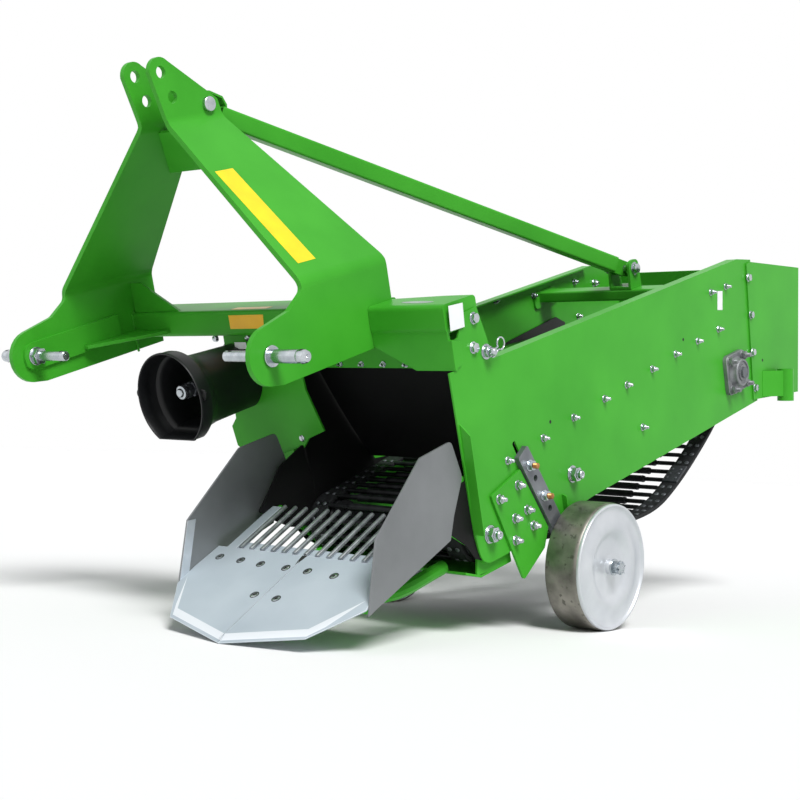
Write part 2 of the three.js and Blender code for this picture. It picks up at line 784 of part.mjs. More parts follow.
const extInner = half + GAP - 2 * GAP;
const rearPlate = alongY(
  rect(CHANNEL_X - extInner, CHANNEL_X + extInner, -168 - REAR_PLATE_H, -168),
  REAR_PLATE_Y,
  REAR_PLATE_Y + REAR_PLATE_T,
);
const rearFeet = SIDES.map(([, sign]) => {
  const [x0, x1] = span(CHANNEL_X, sign, extInner - REAR_PLATE_T, extInner);
  return block(x0, x1, REAR_PLATE_Y, REAR_PLATE_Y + 46, -168 - REAR_PLATE_H, -174);
});
add("rear_cross_plate", join([rearPlate, ...rearFeet]), GREEN);

// ---------------------------------------------------------------- rear cross tube and strut
const footX = half - SIDE_T - GAP;
const [tubeSkin, tubeVoid] = hollow(
  REAR_TUBE_Y,
  REAR_TUBE_Y + REAR_TUBE_DEPTH,
  REAR_TUBE_TOP - REAR_TUBE_H,
  REAR_TUBE_TOP,
  REAR_TUBE_WALL,
  6,
);
const rearTube = alongX(
  tubeSkin,
  CHANNEL_X - footX + FOOT_T - 1,
  CHANNEL_X + footX - FOOT_T + 1,
  [tubeVoid],
);
const tubeFeet = SIDES.map(([, sign]) => {
  const [x0, x1] = span(CHANNEL_X, sign, footX - FOOT_T, footX);
  return alongX(
    rounded([
      [REAR_TUBE_Y - 24, REAR_TUBE_TOP - REAR_TUBE_H - 14, 12],
      [REAR_TUBE_Y + REAR_TUBE_DEPTH + 24, REAR_TUBE_TOP - REAR_TUBE_H - 14, 12],
      [REAR_TUBE_Y + REAR_TUBE_DEPTH + 24, REAR_TUBE_TOP + 2, 8],
      [REAR_TUBE_Y - 24, REAR_TUBE_TOP + 2, 8],
    ]),
    x0,
    x1,
    [rounded(tubeVoid.filter((_, i) => i % 6 === 0).map(([a, b]) => [a, b, 3]), 2)],
  );
});
add("rear_cross_tube", join([rearTube, ...tubeFeet]), GREEN);

const strutRearY = REAR_TUBE_Y + REAR_TUBE_DEPTH / 2;
const strutRearZ = REAR_TUBE_TOP + STRUT_REAR_RISE;
const bracketFloor = REAR_TUBE_TOP + GAP;
const cheek = (x0, x1) =>
  alongX(
    rounded([
      [strutRearY - 29, bracketFloor],
      [strutRearY + 29, bracketFloor],
      [strutRearY + 24, strutRearZ + 24, 20],
      [strutRearY - 24, strutRearZ + 24, 20],
    ]),
    x0,
    x1,
    [ring(strutRearY, strutRearZ, STRUT_BOLT_D / 2 + FIT, 20)],
  );
const bracketHalf = BRACKET_GAP / 2;
add(
  "strut_bracket",
  join([
    cheek(STRUT_REAR_X - bracketHalf - BRACKET_T, STRUT_REAR_X - bracketHalf),
    cheek(STRUT_REAR_X + bracketHalf, STRUT_REAR_X + bracketHalf + BRACKET_T),
    block(
      STRUT_REAR_X - bracketHalf - 1,
      STRUT_REAR_X + bracketHalf + 1,
      strutRearY - 29,
      strutRearY + 29,
      bracketFloor,
      bracketFloor + BRACKET_T,
    ),
  ]),
  GREEN,
);

// The strut is drawn along its own length and turned into place.
const strutStart = new THREE.Vector3(0, STRUT_HOLE[0], STRUT_HOLE[1]);
const strutEnd = new THREE.Vector3(STRUT_REAR_X, strutRearY, strutRearZ);
const strutRun = strutEnd.clone().sub(strutStart);
const strutL = strutRun.length();
const yaw = Math.atan2(strutRun.x, strutRun.y);
const fall = Math.atan2(strutRun.z, Math.hypot(strutRun.x, strutRun.y));
function place(body) {
  const turn = new THREE.Matrix4()
    .makeTranslation(strutStart.x, strutStart.y, strutStart.z)
    .multiply(new THREE.Matrix4().makeRotationZ(-yaw))
    .multiply(new THREE.Matrix4().makeRotationX(fall));
  return solid(geometryOf(body).applyMatrix4(turn));
}
const s = STRUT_S / 2;
const strutTube = alongY(
  rounded([
    [-s, -s, STRUT_CORNER],
    [s, -s, STRUT_CORNER],
    [s, s, STRUT_CORNER],
    [-s, s, STRUT_CORNER],
  ], 3),
  62,
  strutL - 42,
  [rect(-s + STRUT_WALL, s - STRUT_WALL, -s + STRUT_WALL, s - STRUT_WALL)],
);
const eye = (y0, y1, at) => {
  const outline = rounded([
    [y0, -STRUT_EYE_R, at > 0 ? 0 : STRUT_EYE_R * 0.8],
    [y1, -STRUT_EYE_R, at > 0 ? STRUT_EYE_R * 0.8 : 0],
    [y1, STRUT_EYE_R, at > 0 ? STRUT_EYE_R * 0.8 : 0],
    [y0, STRUT_EYE_R, at > 0 ? 0 : STRUT_EYE_R * 0.8],
  ]);
  return alongX(outline, -STRUT_EYE_T / 2, STRUT_EYE_T / 2);
};
const strutBody = place(
  join([
    strutTube,
    eye(-STRUT_EYE_R, 90, -1),
    eye(strutL - 70, strutL + STRUT_EYE_R, 1),
  ]),
);
const eyeCut = STRUT_BOLT_D / 2 + FIT + 0.6;
add(
  "strut",
  strutBody
    .subtract(rod("x", -40, 40, ...STRUT_HOLE, eyeCut))
    .subtract(rod("x", STRUT_REAR_X - 40, STRUT_REAR_X + 40, strutRearY, strutRearZ, eyeCut)),
  GREEN,
);

// A through bolt with its spacers drawn on it.
function boltThrough(name, middle, halfGrip, y, z, halfSpacer) {
  const r = STRUT_BOLT_D / 2;
  const headR = r * 1.65;
  const profile = [
    [-halfGrip - 13, 0],
    [-halfGrip - 13, headR],
    [-halfGrip - GAP, headR],
    [-halfGrip - GAP, r],
    [-halfSpacer[1], r],
    [-halfSpacer[1], headR],
    [-halfSpacer[0], headR],
    [-halfSpacer[0], r],
    [halfSpacer[0], r],
    [halfSpacer[0], headR],
    [halfSpacer[1], headR],
    [halfSpacer[1], r],
    [halfGrip + GAP, r],
    [halfGrip + GAP, headR],
    [halfGrip + NUT_L, headR],
    [halfGrip + NUT_L, 0],
  ].map(([x, radius]) => [middle + x, radius]);
  add(name, turnedX(profile, y, z, 10), ZINC);
}
boltThrough("strut_bolt_front", 0, EAR_GAP / 2 + LEG_T, ...STRUT_HOLE, [15, EAR_GAP / 2 - GAP]);
boltThrough("strut_bolt_rear", STRUT_REAR_X, bracketHalf + BRACKET_T, strutRearY, strutRearZ, [
  15,
  bracketHalf - GAP,
]);

// ---------------------------------------------------------------- share
const wingInner = (u) => BLADE_CORNER[0] - ((u - BLADE_CORNER[1]) * WING_FLARE) / WING_RUN;
const onShare = (body) => {
  const turn = new THREE.Matrix4()
    .makeTranslation(CHANNEL_X, 0, SHARE_ORIGIN_Z)
    .multiply(new THREE.Matrix4().makeRotationX(SHARE_SLOPE));
  return solid(geometryOf(body).applyMatrix4(turn));
};
for (const [side, sign] of SIDES) {
  const edge = [
    [GAP / 2, BLADE_TIP],
    BLADE_SHOULDER,
    BLADE_CORNER,
    [wingInner(BLADE_REAR) - GAP, BLADE_REAR],
    [GAP / 2, BLADE_REAR],
  ].map(([x, u]) => [sign * x, u]);
  const inset = [
    [-2, BLADE_TIP + BEVEL],
    [BLADE_SHOULDER[0] - 6, BLADE_SHOULDER[1] + BEVEL],
    [BLADE_CORNER[0] - 14, BLADE_CORNER[1] + BEVEL],
    [BLADE_CORNER[0] + 20, BLADE_REAR + 2],
    [-2, BLADE_REAR + 2],
  ].map(([x, u]) => [sign * x, u]);
  const plate = alongZ(edge, -BLADE_T, 0);
  const thin = alongZ(edge, -BLADE_T, -BLADE_T + 2);
  const rings = [-BLADE_T - 1, 0.001].map((w, i) =>
    (i ? inset : edge.map(([x, u], k) => [
      k === 0 || k === 4 ? sign * -2 : k >= 2 ? x + sign * 30 : x,
      k >= 3 ? BLADE_REAR + 2 : u,
    ])).map(([x, u]) => new THREE.Vector3(x, u, w)),
  );
  const strip = block(
    ...span(0, sign, ...STRIP),
    BLADE_REAR - 4,
    STRIP_REAR,
    -BLADE_T,
    0,
  );
  const body = join([plate.intersect(loft(rings)).add(thin), strip]);
  add("share_blade_" + side, onShare(body), STEEL);
}

const carrierTop = -BLADE_T - GAP;
const armX = half - SIDE_T - GAP - SKIRT_T - GAP;
const carrierHalf = [
  [wingInner(CARRIER_FRONT) - GAP, CARRIER_FRONT],
  [wingInner(CARRIER_FRONT + 96) - GAP, CARRIER_FRONT + 96],
  [armX, CARRIER_FRONT + 112],
  [armX, RAIL_REAR],
  [armX - RAIL_W, RAIL_REAR],
  [armX - RAIL_W, CARRIER_REAR],
];
const carrierPlate = onShare(
  alongZ(
    [...carrierHalf, ...[...carrierHalf].reverse().map(([x, u]) => [-x, u])],
    carrierTop - CARRIER_T,
    carrierTop,
  ),
);
const armOutline = rounded([
  [190, -400],
  [206, -384],
  [238, -334, 18],
  [300, -326, 4],
  [470, -342, 20],
  [505, -470, 20],
  [440, -532, 14],
  [336, -532, 14],
  [284, -474],
  [206, -412],
]);
const armHoles = [ring(FRONT_ROLLER[0], FRONT_ROLLER[1], ROLLER_SHAFT_D / 2 + FIT, 20)];
const carrierArms = SIDES.map(([, sign]) => {
  const [x0, x1] = span(CHANNEL_X, sign, armX - ARM_T, armX);
  return alongX(armOutline, x0, x1, armHoles);
});
add("share_carrier", join([carrierPlate, ...carrierArms]).subtract(
  join(SIDES.map(([, sign]) => {
    const [x0, x1] = span(CHANNEL_X, sign, armX - ARM_T - 1, armX + 1);
    return alongX(slot, x0, x1);
  })),
), GREEN);

const gridRods = Array.from({ length: GRID_N }, (_, i) => {
  const x = (i - (GRID_N - 1) / 2) * GRID_PITCH;
  return rod("y", BLADE_REAR + GAP, GRID_REAR, x, 0.5, GRID_D / 2, 8);
});
const gridReach = ((GRID_N - 1) / 2) * GRID_PITCH + GRID_D;
const gridBar = block(-gridReach, gridReach, BLADE_REAR + GAP, BLADE_REAR + GRID_BAR, carrierTop + GAP, -3);
add("share_grid", onShare(join([...gridRods, gridBar])), STEEL);

const skirtOutline = rounded([
  [226, -428],
  [244, -341, 16],
  [332, -334],
  [332, -524],
  [300, -508],
  [272, -468],
]);
for (const [side, sign] of SIDES) {
  const [x0, x1] = span(CHANNEL_X, sign, armX + GAP, armX + GAP + SKIRT_T);
  add("arm_skirt_" + side, alongX(skirtOutline, x0, x1), RUBBER);
}

const wingOutline = rounded([
  [-82, -486],
  [-26, -352],
  [150, -242, 12],
  [262, -239, 14],
  [284, -322, 20],
  [236, -390, 16],
  [212, -436],
]);
for (const [side, sign] of SIDES) {
  const turn = Math.atan2(WING_FLARE, WING_RUN);
  const body = alongX(wingOutline, -WING_T / 2, WING_T / 2);
  const matrix = new THREE.Matrix4()
    .makeTranslation(CHANNEL_X + sign * (BLADE_CORNER[0] + GAP + WING_T / 2 + 0.2), BLADE_CORNER[1], 0)
    .multiply(new THREE.Matrix4().makeRotationZ(sign * turn))
    .multiply(new THREE.Matrix4().makeTranslation(0, -BLADE_CORNER[1], 0));
  add("share_wing_" + side, solid(geometryOf(body).applyMatrix4(matrix)), DARK);
}

const skidRear = FLOOR_PLATE[0][0] - GAP;
const skidPath = [
  [-SKID_HALF, skidRear],
  [-SKID_HALF, skidRear - 60],
  [-SKID_HALF, SKID_FRONT + SKID_BEND],
  [-SKID_HALF + SKID_BEND * 0.3, SKID_FRONT + SKID_BEND * 0.3],
  [-SKID_HALF + SKID_BEND, SKID_FRONT],
  [0, SKID_FRONT],
  [SKID_HALF - SKID_BEND, SKID_FRONT],
  [SKID_HALF - SKID_BEND * 0.3, SKID_FRONT + SKID_BEND * 0.3],
  [SKID_HALF, SKID_FRONT + SKID_BEND],
  [SKID_HALF, skidRear - 60],
  [SKID_HALF, skidRear],
].map(([x, y]) => new THREE.Vector3(CHANNEL_X + x, y, SKID_Z));
const skid = bar(skidPath, SKID_D / 2, 10, 30);
const skidPosts = [-1, 1].map((sign) => {
  const x = CHANNEL_X + sign * (SKID_HALF - 70);
  const under = (BLADE_T + CARRIER_T + GAP) / Math.cos(SHARE_SLOPE) + GAP;
  const top = SHARE_ORIGIN_Z + (SKID_FRONT - 42) * Math.tan(SHARE_SLOPE) - under;
  return block(x - 5, x + 5, SKID_FRONT - 42, SKID_FRONT - 4, SKID_Z - SKID_D / 4, top);
});
add("skid_tube", join([skid, ...skidPosts]), GREEN);

const lugOuter = armX - ARM_T - GAP;
const floorPlate = alongX(
  [...FLOOR_PLATE, ...[...FLOOR_PLATE].reverse().map(([y, z]) => [y, z + FLOOR_PLATE_T])],
  CHANNEL_X - lugOuter,
  CHANNEL_X + lugOuter,
);
const floorLugs = SIDES.map(([, sign]) => {
  const [x0, x1] = span(CHANNEL_X, sign, lugOuter - FLOOR_PLATE_T, lugOuter);
  return alongX(
    rounded([
      [FLOOR_PLATE[1][0] - 12, FLOOR_PLATE[1][1] + 8],
      [FLOOR_PLATE[2][0], FLOOR_PLATE[2][1]],
      [FLOOR_PLATE[2][0], FLOOR_LUG_TOP, 20],
      [FLOOR_PLATE[1][0], FLOOR_LUG_TOP, 20],
    ]),
    x0,
    x1,
  );
});
add("floor_cross_plate", join([floorPlate, ...floorLugs]), GREEN);


// ---------------------------------------------------------------- elevator web
function webPath() {
  const [fy, fz, fr] = FRONT_ROLLER;
  const [dy, dz, dr] = DRIVE;
  const points = [];
  for (let i = 0; i <= 4; i++) {
    const t = i / 4;
    points.push([fy + t * (dy - fy), fz + fr + t * (dz + dr - fz - fr)]);
  }
  for (let i = 1; i <= 9; i++) {
    const a = Math.PI / 2 - (i / 9) * Math.PI * 0.93;
    points.push([dy + dr * Math.cos(a), dz + dr * Math.sin(a)]);
  }
  const curve = new THREE.CatmullRomCurve3(
    [points[points.length - 1], ...SAG, [fy + 14, fz - fr + 1]].map(
      ([y, z]) => new THREE.Vector3(0, y, z),
    ),
    false,
    "centripetal",
  );
  curve.getPoints(20).slice(1).forEach((p) => points.push([p.y, p.z]));
  for (let i = 1; i < 9; i++) {
    const a = -Math.PI / 2 - (i / 9) * Math.PI;
    points.push([fy + fr * Math.cos(a), fz + fr * Math.sin(a)]);
  }
  return points;
}
const webLine = webPath();
function offsetLoop(points, shift) {
  const n = points.length;
  return points.map(([a, b], i) => {
    const p = points[(i + n - 1) % n];
    const q = points[(i + 1) % n];
    const d = new THREE.Vector2(q[0] - p[0], q[1] - p[1]).normalize();
    return [a - d.y * shift, b + d.x * shift];
  });
}
const belts = SIDES.map(([, sign]) => {
  const [x0, x1] = span(CHANNEL_X, sign, BELT_OFFSET - BELT_W / 2, BELT_OFFSET + BELT_W / 2);
  return alongX(offsetLoop(webLine, BELT_T / 2), x0, x1, [offsetLoop(webLine, -BELT_T / 2)]);
});
function evenly(points, pitch) {
  const closed = [...points, points[0]];
  const steps = closed.slice(1).map((p, i) => Math.hypot(p[0] - closed[i][0], p[1] - closed[i][1]));
  const whole = steps.reduce((a, b) => a + b, 0);
  const count = Math.round(whole / pitch);
  return Array.from({ length: count }, (_, k) => {
    let left = (k * whole) / count;
    let i = 0;
    while (left > steps[i]) {
      left -= steps[i];
      i += 1;
    }
    const t = left / steps[i];
    const [a, b] = [closed[i], closed[i + 1]];
    const slope = Math.atan2(b[1] - a[1], b[0] - a[0]);
    return [a[0] + t * (b[0] - a[0]), a[1] + t * (b[1] - a[1]), slope];
  });
}
const rodHalf = BELT_OFFSET + BELT_W / 2 - ROD_END;
const webRods = evenly(webLine, ROD_PITCH).map(([y, z, slope]) => {
  const corner = (k) => {
    const a = slope + (k + 0.5) * (Math.PI / 2);
    return [y + ROD_S * Math.SQRT1_2 * Math.cos(a), z + ROD_S * Math.SQRT1_2 * Math.sin(a)];
  };
  return alongX([0, 1, 2, 3].map(corner), CHANNEL_X - rodHalf, CHANNEL_X + rodHalf);
});
add("elevator_web", join([...belts, ...webRods]), BLACK);

// Rollers under the belts: each is one turned piece with its shaft ends through the panels.
const shaftOut = half + NUT_L;
function roller(name, y, z, radius, shaftD, reachLeft, reachRight) {
  const inner = BELT_OFFSET - BELT_W / 2 - 8;
  const outer = BELT_OFFSET + BELT_W / 2 + 2;
  const r = shaftD / 2;
  const thin = Math.max(r, radius * 0.55);
  const profile = [
    [CHANNEL_X - reachRight, 0],
    [CHANNEL_X - reachRight, r],
    [CHANNEL_X - outer, r],
    [CHANNEL_X - outer, radius],
    [CHANNEL_X - inner, radius],
    [CHANNEL_X - inner, thin],
    [CHANNEL_X + inner, thin],
    [CHANNEL_X + inner, radius],
    [CHANNEL_X + outer, radius],
    [CHANNEL_X + outer, r],
    [CHANNEL_X + reachLeft, r],
    [CHANNEL_X + reachLeft, 0],
  ];
  add(name, turnedX(profile, y, z, 16), DARK);
}
const rollerRadius = (pathRadius) => pathRadius - BELT_T / 2 - ROLLER_GROOVE;
roller(
  "front_roller",
  FRONT_ROLLER[0],
  FRONT_ROLLER[1],
  rollerRadius(FRONT_ROLLER[2]),
  ROLLER_SHAFT_D,
  shaftOut,
  shaftOut,
);
roller("shaker_roller", SHAKER_Y, rollerZ(SHAKER_Y), ROLLER_R, ROLLER_SHAFT_D, shaftOut, shaftOut);
roller("carrying_roller", CARRY_Y, rollerZ(CARRY_Y), ROLLER_R, ROLLER_SHAFT_D, shaftOut, shaftOut);
roller(
  "drive_shaft",
  DRIVE[0],
  DRIVE[1],
  rollerRadius(DRIVE[2]),
  SHAFT_D,
  half + BEARING_BOSS_L + 6,
  half - 1,
);

const bearingPlate = alongX(
  rounded([
    [DRIVE[0] - BEARING_S / 2, DRIVE[1] - BEARING_S / 2, 16],
    [DRIVE[0] + BEARING_S / 2, DRIVE[1] - BEARING_S / 2, 16],
    [DRIVE[0] + BEARING_S / 2, DRIVE[1] + BEARING_S / 2, 16],
    [DRIVE[0] - BEARING_S / 2, DRIVE[1] + BEARING_S / 2, 16],
  ]),
  sideOuter + GAP,
  sideOuter + BEARING_T,
);
const bearingBoss = rod("x", sideOuter + 3, sideOuter + BEARING_BOSS_L, DRIVE[0], DRIVE[1], BEARING_BOSS_D / 2, 32);
add(
  "drive_bearing",
  bearingPlate
    .add(bearingBoss)
    .subtract(rod("x", sideOuter - 5, sideOuter + 60, DRIVE[0], DRIVE[1], SHAFT_D / 2 + FIT, 32)),
  DARK,
);

// ---------------------------------------------------------------- wheels
const armRun = new THREE.Vector2(WHEEL[0] - ARM_TOP[0], WHEEL[1] - ARM_TOP[1]);
const armDir = armRun.clone().normalize();
const armSide = new THREE.Vector2(-armDir.y, armDir.x);
const onArm = (along, across) => [
  ARM_TOP[0] + armDir.x * along + armSide.x * across,
  ARM_TOP[1] + armDir.y * along + armSide.y * across,
];
const kiteOutline = [
  onArm(22, -ARM_BAR_W / 2 - 3).concat(4),
  [367, -390, 6],
  [444, -606, 8],
  [538, -563, 8],
  onArm(198, -ARM_BAR_W / 2 - 3),
];
const armHolesAt = [34, 72, 125, 163];
for (const [side, sign] of SIDES) {
  const [x0, x1] = span(CHANNEL_X, sign, half + GAP, half + GAP + ARM_BAR_T);
  const barOutline = rounded([
    [...onArm(-6, -ARM_BAR_W / 2), 6],
    [...onArm(armRun.length() + ARM_BAR_W / 2, -ARM_BAR_W / 2), ARM_BAR_W * 0.45],
    [...onArm(armRun.length() + ARM_BAR_W / 2, ARM_BAR_W / 2), ARM_BAR_W * 0.45],
    [...onArm(-6, ARM_BAR_W / 2), 6],
  ]);
  const holes = armHolesAt.map((at) => ring(...onArm(at, 0), HOLE_D / 2, 16));
  const armBar = alongX(barOutline, x0, x1, holes);
  const wheelIn = half + GAP + ARM_BAR_T + WHEEL_CLEAR;
  const wheelOut = wheelIn + WHEEL_W;
  const r = AXLE_D / 2;
  const stub = turnedX(
    [
      [half + GAP + 2, 0],
      [half + GAP + 2, r],
      [half + GAP + ARM_BAR_T, r],
      [half + GAP + ARM_BAR_T, r * 1.5],
      [wheelIn - 2 - 0.6, r * 1.5],
      [wheelIn - 2 - 0.6, r],
      [wheelOut + 8.6, r],
      [wheelOut + 8.6, r * 1.5],
      [wheelOut + 26, r * 1.5],
      [wheelOut + 26, 0],
    ].map(([x, radius]) => [CHANNEL_X + sign * x, radius]),
    ...WHEEL,
    16,
  );
  add("wheel_arm_" + side, armBar.add(stub), DARK);

  const bore = r + FIT;
  const disc = wheelOut - 14;
  const wheelProfile = [
    [wheelIn - 2, bore],
    [wheelIn - 2, HUB_R],
    [disc - 8, HUB_R],
    [disc - 8, HUB_R + 18],
    [disc, WHEEL_R * 0.62],
    [disc - 2, WHEEL_R - RIM_T - 12],
    [disc - 8, WHEEL_R - RIM_T],
    [wheelIn, WHEEL_R - RIM_T],
    [wheelIn, WHEEL_R - 3],
    [wheelIn + 5, WHEEL_R],
    [wheelOut - 7, WHEEL_R],
    [wheelOut - 1, WHEEL_R - 5],
    [wheelOut - 1, WHEEL_R - 11],
    [disc + DISC_T, WHEEL_R - RIM_T - 16],
    [disc + DISC_T, WHEEL_R * 0.62],
    [disc + DISC_T - 6, HUB_R + 18],
    [disc + DISC_T - 6, HUB_R],
    [wheelOut + 8, HUB_R],
    [wheelOut + 8, bore],
    [wheelIn - 2, bore],
  ].map(([x, radius]) => [CHANNEL_X + sign * x, radius]);
  add("wheel_" + side, turnedX(wheelProfile, ...WHEEL, 28), ZINC);

  const [k0, k1] = span(CHANNEL_X, sign, half + GAP, half + GAP + KITE_T);
  const kite = alongX(rounded(kiteOutline), k0, k1);
  const rollerNut = rod("x", k0 - 1, k1 + 1, FRONT_ROLLER[0], FRONT_ROLLER[1], ROLLER_SHAFT_D / 2 + 8);
  const lipRoom = block(k0 - 1, k1 + 1, SIDE_FRONT, SIDE_FRONT + 9 + SIDE_T + 1, -480, -200);
  add("guard_plate_" + side, kite.subtract(rollerNut).subtract(lipRoom), GREEN);
}

// ---------------------------------------------------------------- drive
const gearX1 = CHANNEL_X - half - CASE_T - 2 * GAP;
const gearX0 = gearX1 - GEARBOX[0];
const gearTop = PTO_Z + GEARBOX[2] * 0.42;
const gearBottom = gearTop - GEARBOX[2];
const gearBody = join([
  alongY(
    rounded([
      [gearX0, gearBottom, 24],
      [gearX1, gearBottom, 24],
      [gearX1, gearTop, 24],
      [gearX0, gearTop, 24],
    ]),
    GEARBOX_Y,
    GEARBOX_Y + GEARBOX[1],
  ),
  rod("y", GEARBOX_Y - 12, GEARBOX_Y + 2, PTO_X, PTO_Z, 42, 32),
]);
add("gearbox", gearBody, DARK);
const hanger = join([
  block(gearX0 + 22, gearX0 + 32, GEARBOX_Y + 6, beamRear - 4, gearTop - 14, beamBottom - GAP),
  block(gearX1 - 32, gearX1 - 22, GEARBOX_Y + 6, beamRear - 4, gearTop - 14, beamBottom - GAP),
  block(gearX0 + 22, gearX1 - 22, GEARBOX_Y + 6, beamRear - 4, beamBottom - GAP - 10, beamBottom - GAP),
]).subtract(block(gearX0 - 1, gearX1 + 1, GEARBOX_Y - 20, beamRear + 40, gearBottom, gearTop + GAP));
add("gearbox_hanger", hanger, GREEN);

const ptoShaft = join([
  turnedYProfile([
    [PTO_TIP, 0],
    [PTO_TIP, 9],
    [PTO_TIP + 6, 9],
    [PTO_TIP + 7, PTO_D / 2 - 4],
    [PTO_TIP + 11, PTO_D / 2],
    [GEARBOX_Y - 13, PTO_D / 2],
    [GEARBOX_Y - 13, 0],
  ]),
]);
function turnedYProfile(profile, count = 20) {
  const points = profile.map(([y, r]) => new THREE.Vector2(r, y));
  const geometry = new THREE.LatheGeometry(points, count);
  geometry.translate(PTO_X, 0, PTO_Z);
  return solid(geometry);
}
add("pto_shaft", ptoShaft, DARK);

const guardCut = Math.asin(GUARD_FLAT);
const guardRing = (scale, y, shrink) => {
  const r = GUARD_R * scale - shrink;
  return Array.from({ length: 24 }, (_, i) => {
    const turn = -guardCut + ((Math.PI + 2 * guardCut) * i) / 23;
    const z = PTO_Z - GUARD_DROP + r * GUARD_TALL * Math.sin(turn);
    return new THREE.Vector3(PTO_X + r * Math.cos(turn), y, z);
  });
};
const guardStations = [
  [1, GUARD_FRONT],
  [0.98, GUARD_FRONT + 34],
  [0.84, GUARD_FRONT + 62],
  [GUARD_NECK, GUARD_FRONT + 90],
  [GUARD_NECK * 0.95, SHIELD_Y - GAP],
];
const guardOut = loft(guardStations.map(([k, y]) => guardRing(k, y, 0)));
const guardIn = loft(
  guardStations.map(([k, y], i) =>
    guardRing(k, i === 0 ? y - 1 : i === guardStations.length - 1 ? y + 1 : y, GUARD_WALL),
  ),
);
add("pto_guard", guardOut.subtract(guardIn), BLACK);

const rubberOutline = [
  [236, -308],
  [388, -276],
  [470, -352],
  [530, -384],
  [400, -398],
  [300, -420],
  [258, -412],
];

// The shield carries the guard and closes the corner beside the channel.
const shieldOutline = [
  [-84, beamBottom - GAP],
  [-88, -226],
  [-106, -246],
  [-98, -293],
  [-46, -334],
  [33, -330],
  [101, -308],
  [137, -268],
  [187, -249],
  [150, -154],
  [138, beamBottom - GAP],
];
const shield = alongY(shieldOutline, SHIELD_Y, SHIELD_Y + SHIELD_T, [
  ring(PTO_X, PTO_Z, PTO_D / 2 + 8, 24),
]);
const shieldLip = alongY(
  [
    [33, -330],
    [101, -308],
    [101, -290],
    [33, -312],
  ],
  SHIELD_Y - 18,
  SHIELD_Y + 1,
);
const rubberNotch = alongX(
  rubberOutline.map(([y, z]) => [y, z + RUBBER_NOTCH]),
  ...span(CHANNEL_X, -1, armX - ARM_T - RUBBER_T - 3 * GAP, armX - ARM_T + GAP),
);
add("gearbox_shield", join([shield, shieldLip]).subtract(rubberNotch), GREEN);

const caseX = span(CHANNEL_X, -1, half + GAP, half + GAP + CASE_T);
const caseRun = new THREE.Vector2(DRIVE[0] - CASE_FRONT[0], DRIVE[1] - CASE_FRONT[1]);
const caseDir = caseRun.clone().normalize();
const caseOutline = [];
for (let i = 0; i <= 14; i++) {
  const a = Math.atan2(caseDir.y, caseDir.x) + Math.PI / 2 + (Math.PI * i) / 14;
  caseOutline.push([CASE_FRONT[0] + CASE_R * Math.cos(a), CASE_FRONT[1] + CASE_R * Math.sin(a)]);
}
for (let i = 0; i <= 14; i++) {
  const a = Math.atan2(caseDir.y, caseDir.x) - Math.PI / 2 + (Math.PI * i) / 14;
  caseOutline.push([DRIVE[0] + CASE_R * Math.cos(a), DRIVE[1] + CASE_R * Math.sin(a)]);
}
add("chain_case", alongX(caseOutline, ...caseX), GREEN);

// ---------------------------------------------------------------- rubber
const stripHalf = half - SIDE_T - GAP;
const curtainHalf = armX - ARM_T - GAP - RUBBER_T - 1.5;
add(
  "curtain_strip",
  block(
    CHANNEL_X - stripHalf,
    CHANNEL_X + stripHalf,
    CURTAIN_Y - STRIP_T,
    CURTAIN_Y,
    -118,
    beamBottom - GAP,
  ).subtract(block(legInner - 2, legOuter + 2, CURTAIN_Y - 60, legRear + 2, -LUG_R - 8, 0)),
  GREEN,
);
add(
  "rubber_curtain",
  alongX(
    [
      [CURTAIN_Y + GAP + CURTAIN_T, CURTAIN_TOP],
      [CURTAIN_Y + GAP, CURTAIN_TOP],
      [CURTAIN_Y + CURTAIN_LEAN, CURTAIN_BOTTOM],
      [CURTAIN_Y + CURTAIN_LEAN + CURTAIN_T + 1, CURTAIN_BOTTOM],
    ],
    CHANNEL_X - curtainHalf,
    CHANNEL_X + curtainHalf,
  ),
  RUBBER,
);
for (const [side, sign] of SIDES) {
  const [x0, x1] = span(
    CHANNEL_X,
    sign,
    armX - ARM_T - GAP - RUBBER_T,
    armX - ARM_T - GAP,
  );
  add("side_rubber_" + side, alongX(rubberOutline, x0, x1), RUBBER);
}

// ---------------------------------------------------------------- parked on share tip and wheels
const tip = new THREE.Vector2(
  BLADE_TIP * Math.cos(SHARE_SLOPE) + BLADE_T * Math.sin(SHARE_SLOPE),
  SHARE_ORIGIN_Z + BLADE_TIP * Math.sin(SHARE_SLOPE) - BLADE_T * Math.cos(SHARE_SLOPE),
);
const toWheel = new THREE.Vector2(WHEEL[0], WHEEL[1]).sub(tip);
const park = -(toWheel.angle() - 2 * Math.PI - Math.asin(WHEEL_R / toWheel.length()));
part.rotation.x = park;
part.position.z = -(tip.x * Math.sin(park) + tip.y * Math.cos(park));
part.updateMatrixWorld(true);
const middle = new THREE.Box3().setFromObject(part, true).getCenter(new THREE.Vector3());
part.position.x -= middle.x;
part.position.y -= middle.y;

export default part;
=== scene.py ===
import math
import random

import bpy
from mathutils import Matrix, Vector
from mathutils.geometry import tessellate_polygon


